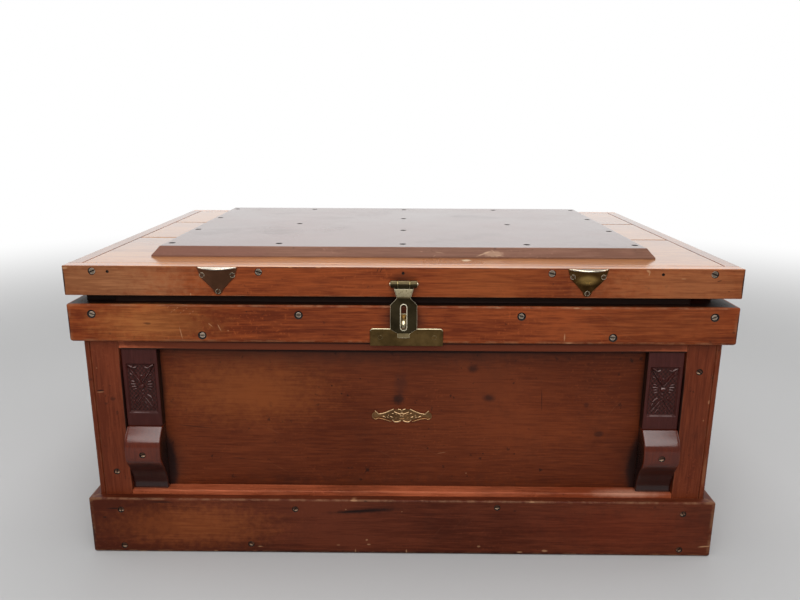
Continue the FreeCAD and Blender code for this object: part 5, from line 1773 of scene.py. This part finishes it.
                # Each strand's front gets the bright tone by its shine, a painted highlight, and its back
                # towards the ground is darker.
                shell.add(bar, np.clip(shine * ((back - bar[..., 1]) / self.strand - 0.7), -0.4, 1))
        studs = ((-1.6, -0.4, 1.4), (1.6, -0.4, 1.4), (-19.5, -0.2, 0.9), (19.5, -0.2, 0.9))
        turn = np.linspace(-math.pi / 2, math.pi / 2, 9)
        for across, up, radius in studs:
            ball = np.stack((np.cos(turn), np.sin(turn)), axis=-1) * radius * MM
            ball[:, 1] = np.clip(ball[:, 1], -self.strand, self.strand)
            centre = np.array((middle + across * MM, back - self.strand, level + up * MM))
            shell.add(Face.FRONT.spot(centre, *lathe(ball, 14)), 0.8, capped=False)
        self.shop.piece("strand_ornament", shell, ORNAMENT, self.body, "brass", [node])
        across = np.linspace(low[0] + 1.5 * MM, high[0] - 1.5 * MM, 60)
        away = (0, 10, 18, 26, 33, 38, 42, 43.5)
        tall = np.interp(np.abs(across - middle) / MM, away, (9.4, 9.2, 6.8, 4.0, 2.6, 4.6, 3.6, 0.6)) * MM
        turn = np.linspace(0, 2 * math.pi, 16, endpoint=False)
        behind = back - 0.35 * MM * (1 + np.sin(turn))
        points = points_at(across[:, None], behind, level + tall[:, None] * np.cos(turn))
        ground = Shell().add(points, -0.35)
        self.shop.piece("ornament_ground", ground, ORNAMENT, self.body, "brass")


@dataclass
class Lid:
    """The lid: four rails, three boards let in between them and a bevelled board screwed on top."""

    shop: Workshop
    seams: tuple[float, float] = (237.0 * MM, 418.0 * MM)
    seam_gap: float = 3.2 * MM
    side_gap: float = 1.0 * MM
    tongue: float = 3.0 * MM
    outer_round: float = 1.0 * MM
    under_round: float = 1.2 * MM
    inner_round: float = 0.4 * MM
    bevel: float = 10.0 * MM
    nail_drop: float = 8.0 * MM
    long_end_round: float = 1.6 * MM
    short_end_round: float = 0.5 * MM
    seen_from_above: float = 0.8
    level: float = 0.97
    body: str = "lid"

    def build(self) -> None:
        """Build the rails, the boards and the raised panel."""
        front = node_box("lid_front_rail")[0][1]
        level = node_box("lid_front_rail")[1][2] - self.nail_drop
        nails = [nail(across * MM, level, front) for across in (-396.0, 1.0, 348.0)]
        for wall in (Face.FRONT, Face.BACK, Face.LEFT, Face.RIGHT):
            item = self.rail(f"lid_{wall.name.lower()}_rail", wall)
            if wall is Face.FRONT:
                self.shop.bore(item, nails)
        self.boards(front)
        self.raised("lid_raised_panel")

    def rail(self, node: str, wall: Face) -> Item:
        """Build a rail: an outline rounded at its outer edges, carried along its length.

        Args:
            node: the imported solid.
            wall: the side of the lid that it lies on.

        Returns:
            The piece.
        """
        low, high = node_box(node)
        axis = 1 - wall.along
        finish, top = (LID_END, LID_SIDE) if wall.along else (LID_FRONT, LID_TOP)
        thick = high[axis] - low[axis]
        section = rounded_section((
            (0, low[2], self.under_round), (thick, low[2], self.inner_round),
            (thick, high[2], self.inner_round), (0, high[2], self.outer_round),
        ))
        ends = Wear(radius=self.short_end_round if wall.along else self.long_end_round)
        points, edge = sweep(section, low[1 - axis], high[1 - axis], (axis, 2, 1 - axis), ends)
        inwards = points[..., axis].copy()
        points[..., axis] = low[axis] + inwards if wall in (Face.FRONT, Face.LEFT) else high[axis] - inwards
        shell = Shell().add(points, edge, plank=(len(node) * 0.43) % 1)
        item = self.shop.piece(f"worn_{node}", shell, finish, self.body, "lid_wood", [node])
        self.shop.dress(item, top, self.seen_from_above, 2.0)
        return item

    def boards(self, front: float) -> None:
        """Build the three boards, parted at the seams, and the tongues that close the seams inside.

        Args:
            front: where the lid's front lies on Y.
        """
        low, high = node_box("lid_boards")
        cuts = [low[1], *(front + seam for seam in self.seams), high[1]]
        across = (low[0] + self.side_gap, high[0] - self.side_gap)
        boxes = []
        for number, (start, end) in enumerate(zip(cuts[:-1], cuts[1:])):
            first = start + (self.seam_gap / 2 if number else 0.0)
            last = end - (self.seam_gap / 2 if number < len(self.seams) else 0.0)
            boxes.append(box_of(across, (first, last), (low[2], high[2])))
        middle, tongue = (low[2] + high[2]) / 2, self.tongue
        for seam in cuts[1:-1]:
            boxes.append(box_of(across, (seam - tongue, seam + tongue), (middle - tongue, middle + tongue)))
        self.shop.board("lid_boards", Run.ACROSS, LID_BOARD, self.body, "lid_wood", boxes)

    def raised(self, node: str) -> None:
        """Build the raised panel: a rounded rectangle that shrinks as it climbs the bevel.

        Each row is the rectangle drawn in by an inset at a height. The bevel's rows lie on its slope, with
        short rows that round its foot and its upper edge.

        Args:
            node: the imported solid.
        """
        low, high = node_box(node)
        centre, half, thick = (low + high) / 2, (high - low) / 2, high[2] - low[2]
        inset = np.array((0.0, 0.0, 0.03, 0.45, 0.92, 0.97, 1.04, 1.16, 1.6)) * self.bevel
        height = np.array((0.0, 0.12, 0.16, 0.5, 0.93, 0.975, 0.995, 1.0, 1.0)) * thick
        corners = ((-1, -1), (1, -1), (1, 1), (-1, 1))
        path = rounded_section([(x * half[0], y * half[1], 1.5 * MM) for x, y in corners])
        shrink = 1 - inset[:, None, None] / half[:2]
        plan = centre[:2] + path.points * shrink
        points = points_at(plan[..., 0], plan[..., 1], (low[2] + height)[:, None])
        edge = np.array((0.0, 0.2, 0.3, 0.0, 0.2, 1.0, 0.9, 0.2, 0.0))[:, None]
        shell = Shell().add(points, edge)
        item = self.shop.piece(f"worn_{node}", shell, RAISED, self.body, "raised_wood", [node])
        self.shop.dress(item, BEVEL, -2.0, self.level)
        self.shop.bore(item)


@dataclass
class FingerLift:
    """A finger lift: a plate that tapers to a round tip, with a half-round lip along its top."""

    shop: Workshop
    node: str
    finish: MetalFinish
    slot: str
    dish: float
    # Share of the bright tone on the lip's top, a painted reflection of the bright surroundings.
    lip_top_painted_reflection: float
    shoulder: float = 14.0 * MM
    shoulder_in: float = 4.5 * MM
    tip: float = 6.0 * MM
    plate: float = 2.0 * MM
    lip_chord: float = 51.0 * MM
    lip_thick: float = 2.2 * MM
    dish_wide: float = 13.0 * MM
    dish_high: float = 6.0 * MM
    screw_radius: float = 3.4 * MM
    screw_side: float = 20.5 * MM
    screw_drop: float = 11.0 * MM
    screw_rise: float = 4.5 * MM
    screw_proud: float = 0.3 * MM
    body: str = "lid"

    def build(self) -> None:
        """Build the plate, the lip and the three screws as one piece and its screws."""
        low, high = node_box(self.node)
        shell = Shell()
        self.add_plate(shell)
        self.add_lip(shell)
        self.shop.piece(f"shaped_{self.node}", shell, self.finish, self.body, self.slot, [self.node])
        heads = Shell()
        middle, face = (low[0] + high[0]) / 2, high[1] - self.plate
        side, top, foot = self.screw_side, high[2] - self.screw_drop, low[2] + self.screw_rise
        for number, (across, up) in enumerate(((-side, top), (side, top), (0.0, foot))):
            place = np.array((middle + across, face, up))
            Screw(place, Face.FRONT, self.screw_radius, -self.screw_proud, 0.7 + 1.1 * number).head(heads)
        self.shop.piece(f"{self.node}_screws", heads, SCREW_DARK, self.body, "screw_metal")

    def add_plate(self, shell: Shell) -> None:
        """Add the plate: at each height a front strip and a flat back.

        The half width is a half circle at the tip, then a straight taper up to the shoulder. The front is
        rounded off towards its edges and dished as a bell-shaped hollow.

        Args:
            shell: what it is added to.
        """
        low, high = node_box(self.node)
        tall, wide = high[2] - low[2], (high[0] - low[0]) / 2
        turn = np.linspace(0, math.pi / 2, 9)[:-1]
        up = np.concatenate((self.tip * (1 - np.cos(turn)), np.linspace(self.tip, tall, 26)))
        shoulder = wide - self.shoulder_in
        taper = np.interp(up, (self.tip, tall - self.shoulder, tall), (self.tip, shoulder, wide))
        half = np.concatenate((self.tip * np.sin(turn), taper[8:]))
        share = np.sin(np.linspace(-math.pi / 2, math.pi / 2, 25))[None, :]
        across = half[:, None] * share
        margin = np.minimum(half[:, None] - np.abs(across), np.minimum(up, tall - up)[:, None])
        rounded = np.clip(1 - margin / (0.9 * MM), 0, 1) ** 2 * 0.7 * MM
        level = (up - tall + self.shoulder + 1.5 * MM)[:, None]
        hollow = self.dish * np.exp(-((across / self.dish_wide) ** 2) - (level / self.dish_high) ** 2)
        front = high[1] - self.plate + rounded + hollow
        plane = points_at((low[0] + high[0]) / 2 + across, front, (low[2] + up)[:, None])
        behind = plane[:, ::-1].copy()
        behind[..., 1] = high[1]
        # The dish's depth takes the edge attribute below zero, which lays the finish's third colour over the
        # dish.
        edge = 0.3 * np.clip(1.4 - margin / (0.7 * MM), 0, 1) - hollow / MM
        shell.add(np.concatenate((plane, behind), axis=1), np.concatenate((edge, 0 * edge), axis=1))

    def add_lip(self, shell: Shell) -> None:
        """Add the lip: a bar with a round front, as deep as an arc over its chord.

        Args:
            shell: what it is added to.
        """
        low, high = node_box(self.node)
        reach = high[1] - self.plate - low[1]
        radius = (self.lip_chord**2 / 4 + reach**2) / (2 * reach)
        swing = math.asin(self.lip_chord / 2 / radius)
        across = radius * np.sin(np.linspace(-swing, swing, 41))
        depth = np.sqrt(radius**2 - across**2) - (radius - reach)
        turn = np.linspace(math.pi / 2, -math.pi / 2, 9)
        half = self.lip_thick / 2
        share = np.concatenate((np.linspace(0, 0.85, 6), np.ones(9), np.linspace(0.85, 0, 6)))
        lift = np.concatenate((np.full(6, half), half * np.sin(turn), np.full(6, -half)))
        nose = np.concatenate((np.zeros(6), half * (np.cos(turn) - 1), np.zeros(6)))
        out = np.maximum(depth[:, None] * share + nose, 0)
        sag = 1.2 * MM * share * (1 - share)
        middle = (low[0] + high[0]) / 2
        points = points_at(middle + across[:, None], high[1] - self.plate - out, high[2] - half + lift - sag)
        # The lip's top gets a painted reflection by its own share, the upper half of its nose the bright
        # tone.
        edge = np.concatenate((np.full(6, self.lip_top_painted_reflection), np.ones(7), np.zeros(8)))
        shell.add(points, edge)


@dataclass
class Hasp:
    """The hasp: a leaf with knuckles on the lid, a bent strap with a slot, and the staple with its plate."""

    shop: Workshop
    place: float = 2.0 * MM
    barrel: float = 5.0 * MM
    bore: float = 2.0 * MM
    knuckle: float = 16.0 * MM
    play: float = 0.3 * MM
    leaf: float = 2.0 * MM
    strap: float = 2.0 * MM
    slot_half: float = 4.0 * MM
    slot_length: float = 36.0 * MM
    slot_drop: float = 7.5 * MM
    rim: float = 0.6 * MM
    leaf_foot: float = 8.5 * MM
    leaf_top: float = 14.0 * MM
    barrel_inset: float = 0.8 * MM
    bend_rise: float = 0.8 * MM
    shelf_drop: float = 1.5 * MM
    neck_drop: float = 8.2 * MM
    heel_drop: float = 42.0 * MM
    toe_drop: float = 48.0 * MM
    toe_kick: float = 3.4 * MM
    stand: float = 9.0 * MM
    half_widths: tuple[float, ...] = (8.0, 8.0, 18.0, 18.0, 9.2, 13.0)
    edge_round: float = 0.85 * MM
    edge_degrees: float = 50.0
    plate_high: float = 25.0 * MM
    plate_corner: float = 4.0 * MM
    tab_half: float = 13.0 * MM
    plate_screws: tuple[float, float] = (-30.0 * MM, 44.0 * MM)
    eye: float = 5.25 * MM
    bar: float = 1.25 * MM

    def build(self) -> None:
        """Build the leaf, the strap, the plate and the staple."""
        self.add_leaf()
        self.add_strap()
        self.add_plate()
        self.add_staple()

    def knuckles(self, shell: Shell, start: float, end: float) -> None:
        """Add a knuckle: a profile with rounded rims turned about the pin's line.

        Args:
            shell: what it is added to.
            start: where it starts on X.
            end: where it ends.
        """
        y, z = self.pin_line()
        length, rim = end - start, 0.7 * MM
        bore, outer = self.bore, self.barrel
        radius = np.array((bore, outer - rim, outer, outer, outer - rim, bore))
        along = np.array((0, 0, rim, length - rim, length, length))
        across, up, out = lathe(np.stack((radius, along), axis=-1), 28)
        points = points_at(start + out, y + across, z + up)
        edge = np.array((0, 0.9, 0, 0, 0.9, 0))[:, None]
        shell.add(points, edge)

    def pin_line(self) -> tuple[float, float]:
        """Return the pin's line as (back, up)."""
        low, high = node_box("hasp_pin")
        return (low[1] + high[1]) / 2, (low[2] + high[2]) / 2

    def add_leaf(self) -> None:
        """Build the leaf's plate below the barrel and its two outer knuckles."""
        low, high = node_box("hasp_hinge_leaf")
        shell = Shell()
        gap = self.knuckle / 2 + self.play
        inset = self.barrel_inset
        for start, end in ((low[0] + inset, self.place - gap), (self.place + gap, high[0] - inset)):
            self.knuckles(shell, start, end)
        top = self.pin_line()[1] - self.barrel - self.play
        left, right = self.place - self.leaf_foot, self.place + self.leaf_foot
        soft = 0.6 * MM
        plate = rounded_section((
            (left, low[2], soft), (right, low[2], soft),
            (self.place + self.leaf_top, top, soft), (self.place - self.leaf_top, top, soft),
        ))
        ends = Wear(radius=0.5 * MM, support=0.1 * MM)
        shell.add(*sweep(plate, high[1] - self.leaf, high[1], (0, 2, 1), ends))
        self.shop.piece("hasp_leaf", shell, STRAP, "lid", "brass", ["hasp_hinge_leaf"])

    def add_strap(self) -> None:
        """Build the strap as a sheet on either side of the slot, given its thickness afterwards.

        A row lies at a place along the bent line. Its points run from the slot's edge, or from the middle
        where there is no slot, out to the strap's half width there.
        """
        low, high = node_box("hasp_strap")
        y, z = self.pin_line()
        front, base = node_box("lid_front_rail")[0][1], node_box("lid_front_rail")[0][2]
        bend, shelf = base + self.bend_rise, z - self.barrel - self.shelf_drop
        foot, end = base - self.heel_drop, base - self.toe_drop
        slot_top = base - self.slot_drop
        slot_foot = slot_top - self.slot_length
        turn = np.cos(np.linspace(0, math.pi / 2, 8))
        top_centre, foot_centre = slot_top - self.slot_half, slot_foot + self.slot_half
        up = np.concatenate((
            np.linspace(shelf, slot_top + 0.4 * MM, 34),
            top_centre + self.slot_half * turn,
            np.linspace(top_centre, foot_centre, 16)[1:-1],
            foot_centre - self.slot_half * turn[::-1],
            np.linspace(slot_foot - 0.4 * MM, low[2], 20),
        ))
        knots_up = np.array((low[2], end, foot, base - self.neck_drop, bend, shelf))
        knots_half = np.array(self.half_widths) * MM
        fine = np.linspace(low[2], shelf, 400)
        raw = np.interp(fine, knots_up, knots_half)
        reach = 10
        kernel = np.hanning(2 * reach + 1)
        padded = np.concatenate((np.full(reach, raw[0]), raw, np.full(reach, raw[-1])))
        half = np.interp(up, fine, np.convolve(padded, kernel / kernel.sum(), mode="valid"))
        away = np.maximum(0.0, np.maximum(up - top_centre, foot_centre - up))
        slot = np.sqrt(np.maximum(0.0, self.slot_half**2 - away**2))
        path_up = np.array((low[2], end, bend, z - self.barrel / 2))
        sheet = front - self.stand - self.strap / 2
        path_y = np.array((sheet - self.toe_kick, sheet, sheet, y - self.strap / 2))
        back = np.interp(up, path_up, path_y)
        share = np.linspace(0, 1, 9)
        # Painted light: the bright tone on the slope above the bend, tilted up towards the light, and shade
        # on the kicked-out tip.
        painted_light = np.interp(up, (end, foot, bend, bend + 2 * MM, shelf), (-0.4, 0.0, 0.0, 0.34, 0.4))[:, None]
        shell = Shell()
        for side in (-1, 1):
            across = side * (slot[:, None] + (half - slot)[:, None] * share)
            points = points_at(self.place + across, back[:, None], up[:, None])
            shell.add(points[:, ::side], painted_light, wrap=False, capped=False)
        item = self.shop.piece("hasp_sheet", shell, STRAP, "hasp", "brass", ["hasp_strap"])
        item.data.materials.append(self.shop.material(BRASS_EDGE))
        solid = item.modifiers.new("thickness", "SOLIDIFY")
        solid.thickness, solid.offset = self.strap, 0.0
        round_edge = item.modifiers.new("edges", "BEVEL")
        round_edge.width, round_edge.segments, round_edge.material = self.edge_round, 2, 1
        round_edge.limit_method, round_edge.angle_limit = "ANGLE", math.radians(self.edge_degrees)
        barrel = Shell()
        across = (self.place - self.knuckle / 2, self.place + self.knuckle / 2)
        self.knuckles(barrel, *across)
        tongue = box_of(across, (y - 2.6 * MM, y - 0.4 * MM), (shelf - 0.4 * MM, z - 2.0 * MM))
        barrel.add(*rounded_box(*tongue, Run.ACROSS, Wear(radius=0.4 * MM, support=1 * MM), 5))
        self.shop.piece("hasp_barrel", barrel, STRAP, "hasp", "brass")
        self.add_rim(sheet - self.strap / 2, top_centre, foot_centre)

    def add_rim(self, face: float, top: float, foot: float) -> None:
        """Build the raised rim round the slot: a bar along two half circles and the lines between them.

        Args:
            face: where the strap's front lies on Y.
            top: the height of the upper half circle's centre.
            foot: the height of the lower one's.
        """
        turn = np.linspace(0, math.pi, 17)
        reach = self.slot_half + 0.5 * self.rim
        upper = np.stack((reach * np.cos(turn), top + reach * np.sin(turn)), axis=-1)
        lower = np.stack((-reach * np.cos(turn), foot - reach * np.sin(turn)), axis=-1)
        flat = np.concatenate((upper, lower))
        path = points_at(self.place + flat[:, 0], face, flat[:, 1])
        bar = tube(path, (0, 1, 0), self.rim, 10, closed=True)
        shell = Shell().add(np.concatenate((bar, bar[:1])), 1.0, capped=False)
        self.shop.piece("hasp_slot_rim", shell, BRASS_EDGE, "hasp", "brass")

    def add_plate(self) -> None:
        """Build the staple's plate and the tab behind the strap as rounded sheets."""
        low, high = node_box("staple_plate")
        top, corner = low[2] + self.plate_high, self.plate_corner
        shell = Shell()
        plate = rounded_section((
            (low[0], low[2], corner / 4), (high[0], low[2], corner / 4),
            (high[0], top, corner), (low[0], top, corner),
        ))
        points, edge = sweep(plate, low[1], high[1], (0, 2, 1), Wear(radius=0.9 * MM, support=0.1 * MM))
        # The top edge and upper corners get the full bright tone as a painted highlight; the other edges a
        # trace of it.
        shell.add(points, np.where(points[..., 2] > top - corner, edge, 0.15 * edge))
        across = (self.place - self.tab_half, self.place + self.tab_half)
        tab = box_of(across, (low[1], high[1]), (top, high[2]))
        shell.add(*rounded_box(*tab, Run.ACROSS, Wear(radius=0.8 * MM, support=1.2 * MM), 7))
        self.shop.piece("hasp_plate", shell, BRASS, "case", "brass", ["staple_plate"])
        heads = Shell()
        for number, spot in enumerate(self.plate_screws):
            place = np.array((spot, low[1], low[2] + self.plate_high / 2))
            Screw(place, Face.FRONT, 3.2 * MM, -0.2 * MM, 0.4 + 0.9 * number).head(heads)
        self.shop.piece("hasp_plate_screws", heads, PLATE_SCREW, "case", "screw_metal")

    def add_staple(self) -> None:
        """Build the staple: a flattened bar carried out of the plate, round its nose and back."""
        low, high = node_box("staple")
        level, nose = (low[2] + high[2]) / 2, low[1] + self.eye + self.bar
        turn = np.linspace(math.pi / 2, -math.pi / 2, 17)
        out = np.concatenate(([high[1] + 0.4 * MM, (high[1] + nose) / 2], nose - self.eye * np.cos(turn)))
        out = np.concatenate((out, [(high[1] + nose) / 2, high[1] + 0.4 * MM]))
        up = level + np.concatenate(([self.eye, self.eye], self.eye * np.sin(turn), [-self.eye, -self.eye]))
        path = points_at(self.place, out, up)
        bar = tube(path, (1, 0, 0), self.bar, 14)
        bar[..., 0] = self.place + (bar[..., 0] - self.place) * 2.0
        shell = Shell().add(bar, 0.7)
        self.shop.piece("hasp_staple", shell, BRASS, "case", "brass", ["staple"])


class Ironwork:
    """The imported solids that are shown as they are: hinges, pins and end handles."""

    finishes = {
        "case_hinge_leaves": HINGE_METAL,
        "lid_hinge_leaves": HINGE_METAL,
        "hinge_pins": HINGE_METAL,
        "hasp_pin": BRASS_EDGE,
        "handle_plates": IRON,
        "left_handle_bail": IRON,
        "right_handle_bail": IRON,
    }

    def build(self, shop: Workshop) -> None:
        """Give each solid its finish.

        Args:
            shop: what the pieces share.
        """
        for node, finish in self.finishes.items():
            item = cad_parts[node]
            item.data.materials.clear()
            item.data.materials.append(shop.material(finish))
            LOG.info("%s: %s", node, finish.name)


@dataclass
class Studio:
    """The floor, the soft lamps, the white surroundings and the camera of the photograph."""

    sensor: float = 36.0
    lens: float = 701.0 / 800.0 * 36.0
    camera_place: Point = (0.004, -1.21075, 0.623)
    pitch: float = math.radians(14.27)
    yaw: float = math.radians(0.44)
    roll: float = math.radians(0.24)
    ambient: float = 0.26
    front_gloss: float = 0.1
    floor_half: float = 9.0
    floor_tone: Colour = (0.55, 0.55, 0.55)
    floor_mirrored: Colour = (0.2, 0.2, 0.2)
    fade_start: float = 1.1
    fade_end: float = 3.2

    def build(self) -> None:
        """Set up the whole stage."""
        self.floor()
        self.world()
        self.lamps()
        self.camera()
        bpy.context.scene.view_settings.view_transform = "Standard"

    def floor(self) -> None:
        """Build a pale floor that turns to the white of the surroundings far from the chest."""
        half = self.floor_half
        corners = np.array(((-half, -half, 0), (half, -half, 0), (half, half, 0), (-half, half, 0)))
        mesh = bpy.data.meshes.new("floor")
        mesh.from_pydata(corners, [], [(0, 1, 2, 3)])
        item = bpy.data.objects.new("floor", mesh)
        bpy.context.scene.collection.objects.link(item)
        graph = material_graph("floor")
        far = graph.ramp(graph.length(graph.place()), self.fade_start, self.fade_end)
        seen = graph.math("MULTIPLY", far, graph.node("LightPath").outputs["Is Camera Ray"])
        mirrored = graph.node("LightPath").outputs["Is Glossy Ray"]
        tone = graph.mix(mirrored, self.floor_tone, self.floor_mirrored)
        matt = graph.node("BsdfDiffuse", {"Color": tone})
        white = graph.node("Emission", {"Color": (1.0, 1.0, 1.0, 1.0), "Strength": 1.0})
        inputs = {0: seen, 1: matt.outputs[0], 2: white.outputs[0]}
        mesh.materials.append(graph.finish(graph.node("MixShader", inputs)))

    def world(self) -> None:
        """Light the scene evenly, with white for the camera, and mirror white behind and dim in front."""
        graph = Graph(bpy.data.worlds.new("studio"))
        path = graph.node("LightPath").outputs
        way = graph.node("TexCoord").outputs["Generated"]
        ways = graph.node("SeparateXYZ", {0: way}).outputs
        behind = graph.ramp(ways["Y"], -0.55, 0.1, self.front_gloss, 1.0)
        shine = graph.math("MAXIMUM", path["Is Glossy Ray"], path["Is Transmission Ray"])
        level = graph.math("MULTIPLY_ADD", shine, graph.math("SUBTRACT", behind, self.ambient), self.ambient)
        level = graph.math("MAXIMUM", level, path["Is Camera Ray"])
        inputs = {"Color": (1.0, 1.0, 1.0, 1.0), "Strength": level}
        bpy.context.scene.world = graph.finish(graph.node("Background", inputs), "World")

    def lamp(self, name: str, place: Point, aim: Point, size: float, power: float) -> None:
        """Add a square soft lamp that looks at a point.

        Args:
            name: the lamp's name.
            place: where it stands.
            aim: the point that it looks at.
            size: its width.
            power: its power in watts.
        """
        data = bpy.data.lights.new(name, "AREA")
        data.size, data.energy = size, power
        item = bpy.data.objects.new(name, data)
        bpy.context.scene.collection.objects.link(item)
        turn = (Vector(aim) - Vector(place)).to_track_quat("-Z", "Y")
        item.matrix_world = Matrix.LocRotScale(place, turn, None)

    def lamps(self) -> None:
        """Place a broad lamp above the front and weaker ones above, at the sides and behind."""
        self.lamp("key", (0.0, -2.3, 2.15), (0.0, -0.2, 0.3), 3.0, 63.0)
        self.lamp("above", (0.0, 0.1, 2.7), (0.0, 0.0, 0.4), 1.6, 27.0)
        for name, across in (("left", -2.4), ("right", 2.4)):
            self.lamp(name, (across, 0.3, 1.3), (0.0, 0.0, 0.25), 1.2, 7.0)
        self.lamp("behind", (0.0, 2.4, 2.2), (0.0, 0.1, 0.4), 1.6, 8.0)

    def camera(self) -> None:
        """Stand the camera where the photograph was taken from."""
        data = bpy.data.cameras.new("camera")
        data.sensor_width, data.lens = self.sensor, self.lens
        item = bpy.data.objects.new("camera", data)
        bpy.context.scene.collection.objects.link(item)
        lean = math.pi / 2 - self.pitch
        turn = Matrix.Rotation(self.yaw, 4, "Z") @ Matrix.Rotation(lean, 4, "X")
        turn = turn @ Matrix.Rotation(self.roll, 4, "Z")
        item.matrix_world = Matrix.Translation(self.camera_place) @ turn
        bpy.context.scene.camera = item


def build_screws(shop: Workshop, groups: dict[str, list[Screw]]) -> None:
    """Build the heads of the wood screws, one piece for each packed group.

    Args:
        shop: what the pieces share.
        groups: the screws of each packed group.
    """
    for node, screws in groups.items():
        body = node.split("_")[0]
        clean = [screw for screw in screws if not screw.dull]
        dull = [screw for screw in screws if screw.dull]
        bright = SCREW_LID if body == "lid" else SCREW
        for label, finish, part in (("slotted", bright, clean), ("dull", SCREW_DULL, dull)):
            shell = Shell()
            for screw in part:
                screw.head(shell)
            if part:
                nodes = [node] if part is clean else []
                shop.piece(f"{label}_{node}", shell, finish, body, "screw_metal", nodes)


SCREW_SEEDS = (
    ("case_wood_screws", Face.FRONT, 11),
    ("lid_wood_screws", Face.FRONT, 12),
    ("lid_wood_screws", Face.TOP, 13),
)


def main() -> None:
    """Build every sub-assembly in order, then the stage."""
    logging.basicConfig(level=logging.INFO, format="%(message)s")
    groups: dict[str, list[Screw]] = {"case_wood_screws": [], "lid_wood_screws": []}
    for node, face, seed in SCREW_SEEDS:
        groups[node] += find_screws(node, face, seed)
    shop = Workshop([screw for group in groups.values() for screw in group])
    for assembly in (Case, Till, CarvedFront, Lid):
        assembly(shop).build()
    FingerLift(shop, "left_finger_lift", BRONZE, "lift_bronze", dish=0.1 * MM, lip_top_painted_reflection=0.9).build()
    FingerLift(shop, "right_finger_lift", LIFT_BRASS, "brass", dish=1.0 * MM, lip_top_painted_reflection=0.1).build()
    Hasp(shop).build()
    Ironwork().build(shop)
    build_screws(shop, groups)
    Studio().build()


if __name__ == "__main__":
    main()
